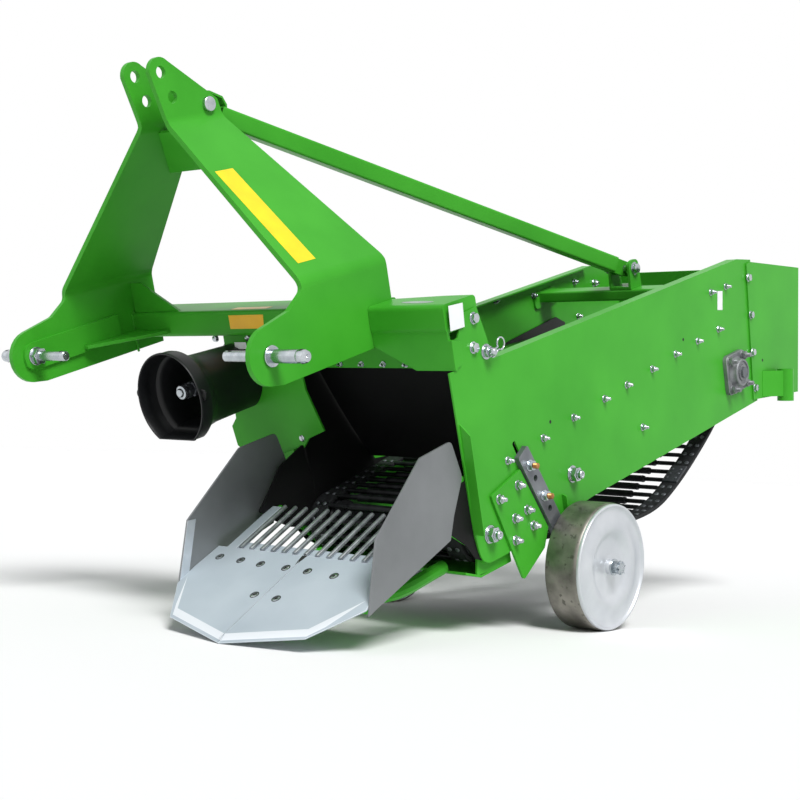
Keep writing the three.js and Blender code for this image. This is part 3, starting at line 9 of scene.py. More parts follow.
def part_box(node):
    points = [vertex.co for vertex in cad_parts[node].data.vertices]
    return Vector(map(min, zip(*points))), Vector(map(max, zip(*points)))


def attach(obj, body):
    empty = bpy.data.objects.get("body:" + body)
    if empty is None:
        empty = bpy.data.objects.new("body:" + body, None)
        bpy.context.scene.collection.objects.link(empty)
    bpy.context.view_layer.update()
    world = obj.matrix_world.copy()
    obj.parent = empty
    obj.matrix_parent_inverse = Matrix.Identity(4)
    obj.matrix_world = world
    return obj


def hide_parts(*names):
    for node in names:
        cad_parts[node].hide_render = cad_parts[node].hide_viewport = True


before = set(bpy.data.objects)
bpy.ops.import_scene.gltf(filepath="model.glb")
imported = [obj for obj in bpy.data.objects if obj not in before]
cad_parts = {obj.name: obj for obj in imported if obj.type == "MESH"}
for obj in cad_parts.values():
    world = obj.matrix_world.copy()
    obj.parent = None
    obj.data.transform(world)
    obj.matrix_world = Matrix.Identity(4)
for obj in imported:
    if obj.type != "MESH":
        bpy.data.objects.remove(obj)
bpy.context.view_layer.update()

# ---- sizes that follow the CAD model
PARK = 0.30089289838660216  # nose-down angle of the parked machine
CHANNEL_X = 341.0
HALF = 246.0  # half the channel over its side plates
SIDE_T = 4.0
GAP = 0.3
OUT_L, OUT_R = CHANNEL_X + HALF, CHANNEL_X - HALF  # outer faces of the side plates
IN_L, IN_R = OUT_L - SIDE_T, OUT_R + SIDE_T
EXT_T = GAP + 4  # the rear extension stands this far out from the side plate
LEG_IN, LEG_OUT = 370.0, 382.0
BEAM_FRONT, BEAM_TOP = 306.0, 35.0
WHEEL_Y, WHEEL_Z = 646.0, -638.0
WHEEL_MID = 312.3  # hub's middle out from the channel's middle
WHEEL_IN, WHEEL_OUT = 264.3, 354.3
ARM_TOP = Vector((496, -334))
ARM_W, ARM_T = 44.0, 12.0
ARM_HOLES = (34, 72, 125, 163)
SLOPE = math.radians(15.6)
SHARE_Z = -445.0
PTO_X, PTO_Z = -54.5, -117.0
GUARD_R, GUARD_DROP, GUARD_FLAT, GUARD_TALL = 102.5, 8.6, 0.835, 1.06
DRIVE = (1525.0, -404.0)
FRONT_ROLLER = (352.0, -470.0)
SHAKER = (690.0, -438.8)
CARRIER_ROLLER = (1010.0, -417.6)
ROLLER_SHAFT_R = 10.0
BELT_OFFSET, BELT_W, BELT_T = 192.0, 46.0, 9.6
ROD_R, ROD_PITCH = 5.6, 36
SLEEVE_R, SLEEVE_END = 9.4, 105.0  # rubber sleeve over the middle of each rod
STRUT_FRONT = (0, 271.0, 500.0)
STRUT_REAR = (366.0, 1390.0, -86.0)
CURTAIN_Y, CURTAIN_TOP, CURTAIN_LOW, CURTAIN_LEAN = 396.6, -87.0, -371.0, 148.0
CURTAIN_HALF = 223.0
SHEET_T = 4.0
BOX_END = 591.2  # outer face of the beam's end box
SIDES = (("left", 1), ("right", -1))
X, Y, Z = Vector((1, 0, 0)), Vector((0, 1, 0)), Vector((0, 0, 1))


def parked():
    turn = Matrix.Rotation(PARK, 4, "X") @ Matrix.Scale(0.001, 4)
    low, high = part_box("wheel_left")
    hub = turn @ Vector((CHANNEL_X + WHEEL_MID, WHEEL_Y, WHEEL_Z))
    return Matrix.Translation((low + high) / 2 - hub) @ turn


TO_ROW = parked()


# ---- materials
def colour(r, g, b):
    """sRGB 0 to 255 as a linear colour."""
    def lin(v):
        v /= 255.0
        return v / 12.92 if v <= 0.04045 else ((v + 0.055) / 1.055) ** 2.4

    return (lin(r), lin(g), lin(b), 1.0)


def put(node, **values):
    """Sets a node's inputs, with _ for the spaces in their names."""
    for name, value in values.items():
        node.inputs[name.replace("_", " ")].default_value = value


def material(name, light, dark, rough, metal, bump, grain, mottle, stretch=1, spread=0.06, speck=None):
    """Colour and roughness mottled by two scales of noise, with a fine bump.

    grain and mottle are the scales of the fine and the coarse noise, spread is how far the
    roughness strays, and speck is a second colour with its threshold and scale."""
    m = bpy.data.materials.new(name)
    m.use_nodes = True
    nodes, links = m.node_tree.nodes, m.node_tree.links
    shader = nodes["Principled BSDF"]
    where = nodes.new("ShaderNodeTexCoord")
    scale = nodes.new("ShaderNodeMapping")
    put(scale, Scale=(stretch, 1, 1))
    links.new(where.outputs["Object"], scale.inputs["Vector"])

    def noise(size, detail):
        n = nodes.new("ShaderNodeTexNoise")
        put(n, Scale=size, Detail=detail)
        links.new(scale.outputs["Vector"], n.inputs["Vector"])
        return n.outputs["Fac"]

    def ramp(fac, low, high):
        r = nodes.new("ShaderNodeValToRGB")
        first, last = r.color_ramp.elements
        first.position, last.position = low, high
        links.new(fac, r.inputs["Fac"])
        return r.outputs["Color"], first, last

    big, fine = noise(mottle, 5.0), noise(grain, 3.0)
    tint, first, last = ramp(big, 0.35, 0.7)
    first.color, last.color = colour(*dark), colour(*light)
    if speck:
        spot, start, size = speck
        spots = ramp(noise(size, 6.0), start, start + 0.06)[0]
        tint = mixed(nodes, links, tint, colour(*spot), spots)
    links.new(tint, shader.inputs["Base Color"])
    gloss = nodes.new("ShaderNodeMapRange")
    put(gloss, To_Min=rough - spread, To_Max=rough + spread)
    links.new(big, gloss.inputs["Value"])
    links.new(gloss.outputs["Result"], shader.inputs["Roughness"])
    put(shader, Metallic=metal)
    relief = nodes.new("ShaderNodeBump")
    put(relief, Strength=bump, Distance=0.0006)
    links.new(fine, relief.inputs["Height"])
    links.new(relief.outputs["Normal"], shader.inputs["Normal"])
    return m


def mixed(nodes, links, tint, other, factor):
    """A tint that turns into another colour where the factor is high."""
    mix = nodes.new("ShaderNodeMix")
    mix.data_type = "RGBA"
    put(mix, B=other)
    links.new(factor, mix.inputs["Factor"])
    links.new(tint, mix.inputs["A"])
    return mix.outputs["Result"]


def paint_bevel_highlight(m, direction, tint, low, high):
    """Painted highlight on bevels: faces whose lean from a direction has a cosine in a range take a brighter
    tint.
    """
    nodes, links = m.node_tree.nodes, m.node_tree.links
    base = nodes["Principled BSDF"].inputs["Base Color"]
    where = nodes.new("ShaderNodeNewGeometry")
    dot = nodes.new("ShaderNodeVectorMath")
    dot.operation = "DOT_PRODUCT"
    dot.inputs[1].default_value = direction
    ramp = nodes.new("ShaderNodeValToRGB")
    ramp.color_ramp.interpolation = "CONSTANT"
    ramp.color_ramp.elements[0].color = (0, 0, 0, 1)
    ramp.color_ramp.elements[1].position = low
    ramp.color_ramp.elements[1].color = (1, 1, 1, 1)
    ramp.color_ramp.elements.new(high).color = (0, 0, 0, 1)
    links.new(where.outputs["True Normal"], dot.inputs[0])
    links.new(dot.outputs["Value"], ramp.inputs["Fac"])
    links.new(mixed(nodes, links, base.links[0].from_socket, tint, ramp.outputs["Color"]), base)


# name, light, dark, roughness, metal, bump, grain, mottle
GREEN = material("green_paint", (68, 168, 46), (58, 155, 38), 0.36, 0, 0.10, 420, 5)
SHARE = material("share_paint", (186, 197, 205), (172, 184, 193), 0.52, 0.12, 0.08, 700, 6)
WING = material("wing_steel", (134, 137, 139), (112, 115, 117), 0.44, 0.45, 0.10, 500, 4)
ZINC = material("zinc_plate", (196, 201, 205), (164, 172, 177), 0.22, 0.95, 0.10, 900, 40)
DISC = material("galvanised_disc", (204, 207, 211), (188, 192, 197), 0.34, 0.50, 0.05, 300, 12)
TREAD = material(
    "worn_tread", (150, 146, 138), (104, 101, 95), 0.40, 0.75, 0.30, 240, 20,
    spread=0.12, speck=((98, 95, 89), 0.60, 70.0),
)
BARE = material("rolled_steel", (120, 124, 128), (84, 88, 93), 0.48, 0.7, 0.20, 300, 30)
STEEL = material("flat_bar", (128, 132, 136), (104, 108, 113), 0.42, 0.6, 0.12, 420, 18)
CAST = material("cast_housing", (142, 144, 146), (116, 119, 122), 0.50, 0.6, 0.45, 520, 30)
PLASTIC = material("black_plastic", (24, 25, 27), (15, 16, 17), 0.40, 0, 0.12, 600, 10)
RUBBER = material("black_rubber", (13, 13, 14), (8, 8, 9), 0.66, 0, 0.35, 900, 7, spread=0.10)
BELT = material("belt_rubber", (34, 36, 38), (16, 17, 18), 0.66, 0, 0.8, 1400, 30, stretch=3, spread=0.12)
JOINT = material("belt_joint", (58, 62, 66), (40, 43, 46), 0.34, 0.3, 0.15, 500, 30)
RIVET = material("rivet_heads", (112, 116, 120), (76, 80, 84), 0.4, 0.6, 0.15, 500, 60)
RODS = material("rod_steel", (40, 42, 44), (20, 21, 22), 0.42, 0.5, 0.2, 300, 50, spread=0.12)
GRATE = material("share_rods", (176, 180, 184), (132, 137, 141), 0.34, 0.75, 0.1, 500, 40)
COPPER = material("yellow_chromate", (196, 146, 92), (150, 104, 60), 0.34, 0.85, 0.15, 500, 90)
YELLOW = material("yellow_vinyl", (250, 220, 4), (242, 208, 0), 0.30, 0, 0.03, 900, 20)
ORANGE = material("orange_vinyl", (255, 196, 34), (250, 188, 26), 0.30, 0, 0.03, 900, 20)
WHITE = material("white_vinyl", (240, 242, 242), (228, 231, 232), 0.32, 0, 0.03, 900, 20)
# painted highlight: a pale tint laid on lit edges and along the share's seam
PAINTED_HIGHLIGHT = material("painted_edge_highlight", (214, 220, 226), (192, 199, 206), 0.3, 0.5, 0.05, 500, 20)
GREY = material("grey_vinyl", (150, 168, 158), (120, 140, 128), 0.32, 0, 0.03, 900, 20)
DARKNESS = material("hole_shadow", (14, 22, 12), (8, 12, 8), 0.8, 0, 0.02, 260, 9)
for surface, mirror in ((GREEN, 0.16), (RUBBER, 0.22), (PLASTIC, 0.3), (BELT, 0.25), (RODS, 0.3)):
    put(surface.node_tree.nodes["Principled BSDF"], Specular_IOR_Level=mirror)
share_face = (0, -math.sin(SLOPE + PARK), math.cos(SLOPE + PARK))
# painted highlight on the share's bevels that lean up from its face
paint_bevel_highlight(SHARE, share_face, colour(226, 231, 236), 0.5, 0.965)


# ---- mesh building
class Shape:
    """Vertices in machine millimetres, faces, and a material index for each face."""

    def __init__(self, *materials):
        self.materials = list(materials)
        self.points, self.faces, self.index = [], [], []

    def add(self, points, faces, material=None):
        base = len(self.points)
        self.points.extend(Vector(p) for p in points)
        self.faces.extend([base + i for i in f] for f in faces)
        self.index.extend([self.slot(material)] * len(faces))

    def slot(self, material):
        if material is None:
            return 0
        if material not in self.materials:
            self.materials.append(material)
        return self.materials.index(material)

    def make(self, name, body="frame", finish="green_paint", smooth=35, replaces=()):
        mesh = bpy.data.meshes.new(name)
        mesh.from_pydata([TO_ROW @ p for p in self.points], [], self.faces)
        for m in self.materials:
            mesh.materials.append(m)
        mesh.polygons.foreach_set("material_index", self.index)
        mesh.polygons.foreach_set("use_smooth", [True] * len(mesh.polygons))
        mesh.update()
        mesh.set_sharp_from_angle(angle=math.radians(smooth))
        piece = bpy.data.objects.new(name, mesh)
        bpy.context.scene.collection.objects.link(piece)
        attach(piece, body)
        if replaces:
            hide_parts(*replaces)
        return piece


def turns(count):
    return [2 * math.pi * k / count for k in range(count)]


def axes(origin, along, up=None):
    """A matrix whose Z runs along a direction."""
    along = Vector(along).normalized()
    up = Vector(up) if up is not None else (Z if abs(along.z) < 0.9 else X)
    side = up.cross(along).normalized()
    top = along.cross(side)
    m = Matrix((side, top, along)).transposed().to_4x4()
    m.translation = Vector(origin)
    return m


def loft(shape, rings, material=None, looped=False):
    """A skin over rings of points, capped at both ends or joined end to end."""
    n, count = len(rings[0]), len(rings)
    faces = []
    for a in range(count if looped else count - 1):
        b = (a + 1) % count
        for k in range(n):
            m = (k + 1) % n
            faces.append([a * n + k, a * n + m, b * n + m, b * n + k])
    if not looped:
        faces.append(list(range(n))[::-1])
        faces.append([(count - 1) * n + k for k in range(n)])
    shape.add([p for ring in rings for p in ring], faces, material)


def turned(shape, origin, along, profile, count=32, material=None):
    """A turned skin from (distance along, radius) pairs; a radius of 0 closes it."""
    m = axes(origin, along)
    rings, points, faces = [], [], []
    for h, r in profile:
        start = len(points)
        if r < 1e-6:
            points.append(m @ Vector((0, 0, h)))
            rings.append([start] * count)
        else:
            points += [m @ Vector((r * math.cos(t), r * math.sin(t), h)) for t in turns(count)]
            rings.append(list(range(start, start + count)))
    for low, high in zip(rings, rings[1:]):
        for k in range(count):
            n = (k + 1) % count
            loop = list(dict.fromkeys((low[k], low[n], high[n], high[k])))
            if len(loop) > 2:
                faces.append(loop)
    shape.add(points, faces, material)


def barrel(shape, origin, along, low, high, radius, count=32, material=None):
    """A plain round bar between two distances along a direction."""
    turned(shape, origin, along, [(low, 0), (low, radius), (high, radius), (high, 0)], count, material)


def shifted(start, *steps):
    """A profile whose distances are counted from a start."""
    return [(start + h, r) for h, r in steps]


def hexagon(shape, origin, along, flats, height, spin=0.0):
    """A hexagon nut or head with chamfered corners."""
    m = axes(origin, along) @ Matrix.Rotation(spin, 4, "Z")
    flat = flats / 2 * 0.97
    rings = [[], [], [], []]
    for t in turns(36):
        local = (t + math.pi / 6) % (math.pi / 3) - math.pi / 6
        r = flats / 2 / math.cos(local)
        drop = max(0.0, r - flat) * 0.55
        edge = Vector((math.cos(t), math.sin(t), 0))
        levels = ((min(r, flats / 2 * 1.04), 0), (r, drop), (r, height - drop), (flat, height))
        for ring, (reach, h) in zip(rings, levels):
            ring.append(m @ (edge * reach + Z * h))
    loft(shape, rings)


def thread(shape, origin, along, radius, start, length, pitch=1.25, material=None):
    """The end of a threaded bolt, with its ridges as rings."""
    profile = [(start, 0), (start, radius)]
    h = start
    while h + pitch < start + length - 1:
        profile += [(h + pitch * 0.5, radius * 0.9), (h + pitch, radius)]
        h += pitch
    profile += shifted(start + length, (-0.8, radius * 0.96), (0, radius * 0.78), (0, 0))
    turned(shape, origin, along, profile, 20, material)


def washer(shape, origin, along, radius, thick):
    profile = [(0, 0), (0, radius), (thick * 0.7, radius), (thick, radius * 0.96), (thick, 0)]
    turned(shape, origin, along, profile, 28)


chance = random.Random(7)
FLATS = {6: 10, 8: 13, 10: 17, 12: 19, 16: 24}  # bolt size and the width over its head's flats


def nut(shape, origin, along, size=8, end=8.0, high=0.8):
    """A washer, a lock nut with its round collar, and the bolt's end."""
    flats, thick = FLATS[size], 1.6 if size < 12 else 2.5
    washer(shape, origin, along, size + 1, thick)
    out = Vector(along).normalized()
    base = Vector(origin) + out * thick
    hexagon(shape, base, along, flats, size * high, spin=chance.uniform(0, 1.0))
    collar = base + out * (size * high)
    profile = [(-0.4, 0), (-0.4, flats * 0.43), (1.6, flats * 0.42), (2.4, flats * 0.37), (2.4, 0)]
    turned(shape, collar, along, profile, 28)
    thread(shape, collar, along, size / 2, 1.6, end, 1.25 if size < 12 else 1.75)


def bolt_head(shape, origin, along, size=8):
    washer(shape, origin, along, size + 1, 1.6)
    base = Vector(origin) + Vector(along).normalized() * 1.6
    hexagon(shape, base, along, FLATS[size], size * 0.64, spin=chance.uniform(0, 1.0))


def dome(shape, origin, along, radius, height, material=None, count=24):
    steps = [(0, 0), (0, radius), (height * 0.25, radius)]
    for k in range(1, 6):
        t = k / 6 * math.pi / 2
        steps.append((height * (0.25 + 0.75 * math.sin(t)), radius * math.cos(t)))
    turned(shape, origin, along, steps + [(height, 0)], count, material)


def tube(shape, path, radius, count=12, closed=False, wobble=0.0):
    """A round bar along a path of points; radius is one number or one for each point."""
    path = [Vector(p) for p in path]
    n = len(path)
    radii = list(radius) if hasattr(radius, "__len__") else [radius] * n
    up = None
    rings = []
    for i, p in enumerate(path):
        before = path[i - 1] if i or closed else p
        after = path[(i + 1) % n] if i + 1 < n or closed else p
        t = (after - before).normalized()
        if up is None:
            up = Z if abs(t.z) < 0.9 else X
        side = up.cross(t).normalized()
        up = t.cross(side)
        r = radii[i] * (1 + wobble * (chance.random() - 0.5))
        rings.append([p + (side * math.cos(a) + up * math.sin(a)) * r for a in turns(count)])
    loft(shape, rings, looped=closed)


def smooth_path(corners, steps):
    """A Catmull-Rom line through the corners."""
    pts = [Vector(c) for c in corners]
    pts = [pts[0] * 2 - pts[1]] + pts + [pts[-1] * 2 - pts[-2]]
    out = []
    for i in range(1, len(pts) - 2):
        p0, p1, p2, p3 = pts[i - 1 : i + 3]
        for k in range(steps):
            t = k / steps
            out.append(
                0.5 * ((2 * p1) + (p2 - p0) * t + (2 * p0 - 5 * p1 + 4 * p2 - p3) * t * t
                + (3 * p1 - p0 - 3 * p2 + p3) * t ** 3)
            )
    out.append(pts[-2])
    return out


def plate(shape, outline, origin, right, up, thick, material=None, edge=0.0):
    """A flat plate from an outline in its own plane, its back on the origin's plane."""
    right, up = Vector(right).normalized(), Vector(up).normalized()
    normal = right.cross(up)
    outline = [Vector(p) for p in outline]
    middle = sum(outline, Vector((0, 0))) / len(outline)

    def at(q, h, inset):
        q = q + (middle - q).normalized() * inset
        return Vector(origin) + right * q.x + up * q.y + normal * h

    levels = [(0, 0), (thick - edge, 0), (thick, edge)] if edge else [(0, 0), (thick, 0)]
    loft(shape, [[at(q, h, inset) for q in outline] for h, inset in levels], material)


def pierced(shape, outline, holes, x0, x1):
    """A flat plate across the machine between two x values, cut by holes; outlines are (y, z)."""
    loops = [[Vector((a, b, 0)) for a, b in loop] for loop in [outline] + holes]
    flat = [p for loop in loops for p in loop]
    n = len(flat)
    points = [Vector((x, p.x, p.y)) for x in (x0, x1) for p in flat]
    faces = []
    for tri in tessellate_polygon(loops):
        a, b, c = (flat[i] for i in tri)
        facing = (b.x - a.x) * (c.y - a.y) - (b.y - a.y) * (c.x - a.x)
        tri = list(tri) if (facing > 0) == (x1 > x0) else list(tri)[::-1]
        faces += [[n + i for i in tri], tri[::-1]]
    start = 0
    for loop in loops:
        m = len(loop)
        outward = (area_of(loop) > 0) == (loop is loops[0])
        for k in range(m):
            i, j = start + k, start + (k + 1) % m
            face = [i, j, n + j, n + i]
            faces.append(face if outward == (x1 > x0) else face[::-1])
        start += m
    shape.add(points, faces)


def area_of(loop):
    """The area inside a loop of points, negative when it runs clockwise."""
    return sum(a[0] * b[1] - b[0] * a[1] for a, b in zip(loop, loop[1:] + loop[:1])) / 2


# ---- CAD nodes keep their shape
def smooth_group():
    """Shades a mesh smooth, but for its edges above an angle."""
    tree = bpy.data.node_groups.new("shade_by_angle", "GeometryNodeTree")
    tree.interface.new_socket("Geometry", in_out="INPUT", socket_type="NodeSocketGeometry")
    tree.interface.new_socket("Geometry", in_out="OUTPUT", socket_type="NodeSocketGeometry")
    new, link = tree.nodes.new, tree.links.new
    start, end = new("NodeGroupInput"), new("NodeGroupOutput")
    faces = new("GeometryNodeSetShadeSmooth")
    faces.domain = "FACE"
    angle = new("GeometryNodeInputMeshEdgeAngle")
    test = new("FunctionNodeCompare")
    test.data_type = "FLOAT"
    test.operation = "LESS_EQUAL"
    test.inputs[1].default_value = math.radians(34)
    edges = new("GeometryNodeSetShadeSmooth")
    edges.domain = "EDGE"
    link(start.outputs[0], faces.inputs["Geometry"])
    link(faces.outputs["Geometry"], edges.inputs["Geometry"])
    link(angle.outputs["Unsigned Angle"], test.inputs[0])
    link(test.outputs[0], edges.inputs["Shade Smooth"])
    link(edges.outputs["Geometry"], end.inputs[0])
    return tree


CAD_LOOKS = {  # the first that a node's name starts with; every other node is green
    "share_blade": SHARE, "share_grid": GRATE, "share_wing": WING, "lower_link_pin": ZINC,
    "strut_bolt": ZINC, "wheel_arm": STEEL, "arm_skirt": RUBBER, "wheel": DISC,
    "front_roller": RODS, "shaker_roller": RODS, "carrying_roller": RODS, "drive_shaft": BARE,
    "drive_bearing": CAST, "pto_shaft": BARE, "pto_guard": PLASTIC, "gearbox_shield": GREEN,
    "gearbox_hanger": GREEN, "gearbox": CAST, "rubber_curtain": RUBBER, "side_rubber": RUBBER,
    "elevator_web": BELT,
}


def dress_cad():
    shade_group = smooth_group()
    for name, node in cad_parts.items():
        look = next((m for key, m in CAD_LOOKS.items() if name.startswith(key)), GREEN)
        node.data.materials.clear()
        node.data.materials.append(look)
        node.data.polygons.foreach_set("material_index", [0] * len(node.data.polygons))
        for name, kind, settings in (
            ("join", "WELD", {"merge_threshold": 0.00002}),
            ("flat", "DECIMATE", {"decimate_type": "DISSOLVE", "angle_limit": math.radians(0.6)}),
            ("edges", "BEVEL", {
                "width": 0.0009, "segments": 2, "limit_method": "ANGLE", "angle_limit": math.radians(38),
            }),
            ("shade", "NODES", {"node_group": shade_group}),
            ("even", "WEIGHTED_NORMAL", {"keep_sharp": True}),
        ):
            modifier = node.modifiers.new(name, kind)
            for setting, value in settings.items():
                setattr(modifier, setting, value)


dress_cad()


# ---- lower hitch pins
def hitch_pin(side, sign):
    shape = Shape(ZINC)
    out = X * sign
    flange = LEG_OUT + GAP
    profile = shifted(
        flange, (0, 0), (0, 21.6), (1, 22), (4.2, 22), (5, 21.2), (5, 14), (74, 14), (75, 13.6), (76, 14),
        (90, 14), (93, 13.2), (96.5, 11), (96.5, 4.2), (93.6, 2.6), (91, 0),
    )
    turned(shape, (0, 0, 0), out, profile, 48)
    start = LEG_IN - 8 - GAP
    washer(shape, out * start, -out, 21, 3)
    hexagon(shape, out * (start - 3), -out, 34, 15, spin=0.3)
    end = 254.0
    tip = shifted(end, (0, 0), (0, 4.0), (0.2, 4.2), (0.2, 8.8), (2.5, 11))
    turned(shape, (0, 0, 0), out, tip + [(start - 16, 11), (start - 16, 0)], 40)
    barrel(shape, (0, 0, 0), out, start - 30, start - 17, 11.4, 40)
    barrel(shape, (0, 0, 0), out, start - 2, flange + 1, 12)
    # painted shade: dark discs stand in for the pin's cross holes
    for x, r in ((flange + 84, 14), (end + 16, 11)):
        for a in (1, -1):
            barrel(shape, (sign * x, 0, a * (r - 0.6)), Z * a, 0, 0.75, 4.6, 24, DARKNESS)
    shape.make("hitch_pin_" + side, finish="zinc_plated_steel", replaces=["lower_link_pin_" + side])


for row in SIDES:
    hitch_pin(*row)


# ---- wheels and their arms
def wheel(side, sign):
    """A wide pressed steel rim with a dished disc, the disc to the outside."""
    shape = Shape(DISC, TREAD)
    out = X * sign
    hub = Vector((CHANNEL_X, WHEEL_Y, WHEEL_Z))
    tread = shifted(WHEEL_IN, (0, 138.6), (0, 141), (1.5, 143), (4, 144), (30, 144))
    tread += shifted(WHEEL_OUT, (-22, 144), (-15, 143.6), (-11, 142.4), (-9.5, 141.2))
    turned(shape, hub, out, tread, 120, TREAD)
    disc = shifted(
        WHEEL_OUT, (-9.5, 141.2), (-7.6, 141.6), (-3.5, 141.4), (-1.4, 139.8), (-1.0, 137.6), (-2.2, 135.6),
        (-5.0, 134.2), (-7.0, 131.8), (-8.0, 128), (-8.4, 121), (-7.4, 113), (-5.0, 104.5), (-2.8, 97.5),
        (-1.6, 90), (-2.2, 83.5), (-4.8, 77.0), (-8.4, 71.0), (-11.0, 66.0), (-12.0, 62.0), (-12.2, 56.0),
        (-12.2, 30), (-12.2, 19.4), (-11.2, 18.0), (-1.5, 17.4), (-0.5, 16.6), (-0.5, 12.9),
    )
    disc += shifted(WHEEL_IN, (-2, 12.9), (-2, 28), (0, 30))
    disc += shifted(
        WHEEL_OUT, (-24, 30), (-20, 31), (-16.4, 34), (-15.4, 56), (-15.0, 64), (-9.0, 74), (-5.6, 82),
        (-5.0, 92), (-8.0, 104), (-11.6, 118), (-11.6, 130), (-13.4, 137.0), (-18, 138.6),
    )
    turned(shape, hub, out, disc + [(WHEEL_IN, 138.6)], 120, DISC)
    shape.make(
        "pressed_wheel_" + side, body=side + "_wheel", finish="galvanised_steel", smooth=50,
        replaces=["wheel_" + side],
    )
    fit = Shape(ZINC)
    at = hub + out * (WHEEL_OUT + 1.0)
    washer(fit, at, out, 19, 3)
    at = at + out * 3
    hexagon(fit, at, out, 24, 11, spin=0.5)
    base = at + out * 11
    for k in range(6):
        t = math.pi / 3 * k + 0.5
        radial = Vector((0, math.cos(t), math.sin(t)))
        for reach, thick in ((10.6, 4.6), (6.4, 4.4)):
            corner = [(-4.4, 0), (4.4, 0), (4.0, 5.4), (-4.0, 5.4)]
            plate(fit, corner, base + radial * reach, out.cross(radial), out, thick)
    thread(fit, base, out, 7.6, -6, 12, 1.5)
    turn = axes(base + out * 2.6, out, Vector((0, 0.5, 0.86)))
    for line in (
        ((-16, 0, 0), (-4, 0.6, 0), (8, 0, 0), (13, 3, 1), (15, 9, 3)),
        ((-16, 0, 0), (-4, -0.8, 0), (8, -1, 0), (12, -4, 2), (12, -10, 5)),
    ):
        tube(fit, [turn @ p for p in smooth_path(line, 5)], 1.3, 8)
    loop = [turn @ Vector((-16 - 3.4 + 3.4 * math.cos(t), 3.0 * math.sin(t), 0)) for t in turns(14)]
    tube(fit, loop, 1.4, 8, closed=True)
    fit.make("castle_nut_" + side, finish="zinc_plated_steel")


def wheel_arm(side, sign):
    """A drilled flat bar bolted to the side plate, and the axle that the wheel turns on."""
    shape = Shape(STEEL)
    run = Vector((WHEEL_Y, WHEEL_Z)) - ARM_TOP
    along = run.normalized()
    across = Vector((-along.y, along.x))

    def ring(a, b, r, start, end, count):
        out = []
        for k in range(count):
            t = start + (end - start) * k / count
            p = ARM_TOP + along * (a + r * math.cos(t)) + across * (b + r * math.sin(t))
            out.append((p.x, p.y))
        return out

    outline = ring(run.length + 2, 0, ARM_W / 2, -math.pi / 2, math.pi / 2, 20)
    outline += ring(0, ARM_W / 2 - 6, 6, math.pi / 2, math.pi, 6)
    outline += ring(0, -ARM_W / 2 + 6, 6, math.pi, 1.5 * math.pi, 6)
    holes = [ring(a, 0, 7.5, 0, 2 * math.pi, 24) for a in ARM_HOLES]
    inside = CHANNEL_X + sign * (HALF + GAP)
    pierced(shape, outline, holes, inside, inside + sign * ARM_T)
    collar, end = WHEEL_IN - 2.6, WHEEL_OUT + 3.4
    axle = [(HALF + 2, 0), (HALF + 2, 12.5), (HALF + ARM_T, 12.5), (HALF + ARM_T, 18.5)]
    axle += [(collar, 18.5), (collar, 12.5), (end, 12.5), (end, 0)]
    turned(shape, (CHANNEL_X, WHEEL_Y, WHEEL_Z), X * sign, axle, 40)
    shape.make("drilled_arm_" + side, finish="dark_steel", replaces=["wheel_arm_" + side])


for make in (wheel, wheel_arm):
    for row in SIDES:
        make(*row)


# ---- drive stub and its guard
def pto():
    shape = Shape(BARE, ZINC)

    def star(y, big, small):
        """A ring of six rounded teeth; a circle where both radii are the same."""
        ring = []
        for t in turns(96):
            r = small + (big - small) * min(1.0, max(0.0, 0.5 + 2.4 * math.cos(6 * t)))
            ring.append(Vector((PTO_X + r * math.cos(t), y, PTO_Z + r * math.sin(t))))
        return ring

    tip = [(132, 2.5), (132, 8), (133, 9), (137, 10.5), (138, 15.2), (141, 17.0), (148, 17.2)]
    loft(shape, [star(y, r, r) for y, r in tip], ZINC)
    big, small, neck = 17.4, 14.6, 13.6
    spline = [(148, 15, 15), (150, big, small), (162, big, small), (163, neck, neck), (169, neck, neck)]
    spline += [(170, big, small), (222, big, small), (226, big, big), (338, big, big)]
    loft(shape, [star(*row) for row in spline], BARE)
    shape.make("pto_splined_stub", body="pto_stub", finish="dark_steel", smooth=30, replaces=["pto_shaft"])

    guard = Shape(PLASTIC)

    def mouth(scale, y, shrink):
        r = GUARD_R * scale - shrink
        cut = math.asin(GUARD_FLAT)
        angles = [-cut + (math.pi + 2 * cut) * i / 60 for i in range(61)]
        foot = PTO_Z - GUARD_DROP
        return [Vector((PTO_X + r * math.cos(t), y, foot + r * GUARD_TALL * math.sin(t))) for t in angles]

    skin = [(1.0, 100.3, 0.6)] + [(scale, y, 0) for scale, y in (
        (1.0, 101.5), (1.0, 106), (0.985, 107), (0.985, 132), (0.97, 138), (0.90, 150), (0.84, 160),
        (0.80, 172), (0.775, 188), (0.765, 215), (0.735, 321),
    )]
    inner = [
        (0.735, 321), (0.765, 215), (0.775, 188), (0.80, 172), (0.84, 160), (0.86, 153), (0.86, 150),
        (0.93, 147), (0.97, 136), (0.985, 126), (0.985, 105), (1.0, 101),
    ]
    skin += [(scale, y, 0.2 if y == 150 else 3.4) for scale, y in inner]
    loft(guard, [mouth(*row) for row in skin], looped=True)
    tab = [(0, -13), (9, -10), (13, -4), (13, 4), (9, 10), (0, 13)]
    for sign in (1, -1):
        corners = [(sign * a, b) for a, b in tab][::sign]
        plate(guard, corners, (PTO_X + sign * 99.5, 112, PTO_Z + 4), X, Z, 5, PLASTIC, 0.8)
        # painted shade: a dark disc for the hole in each tab
        barrel(guard, (PTO_X + sign * 105.5, 106.8, PTO_Z + 4), -Y, 0, 0.4, 3.6, 16, DARKNESS)
    guard.make("pto_cone_guard", finish="black_plastic", smooth=32, replaces=["pto_guard"])


pto()


# ---- elevator web and its rollers
def arc(centre, radius, start, step, ks):
    return [
        (centre[0] + radius * math.cos(a), centre[1] + radius * math.sin(a))
        for a in (start + step * k for k in ks)
    ]


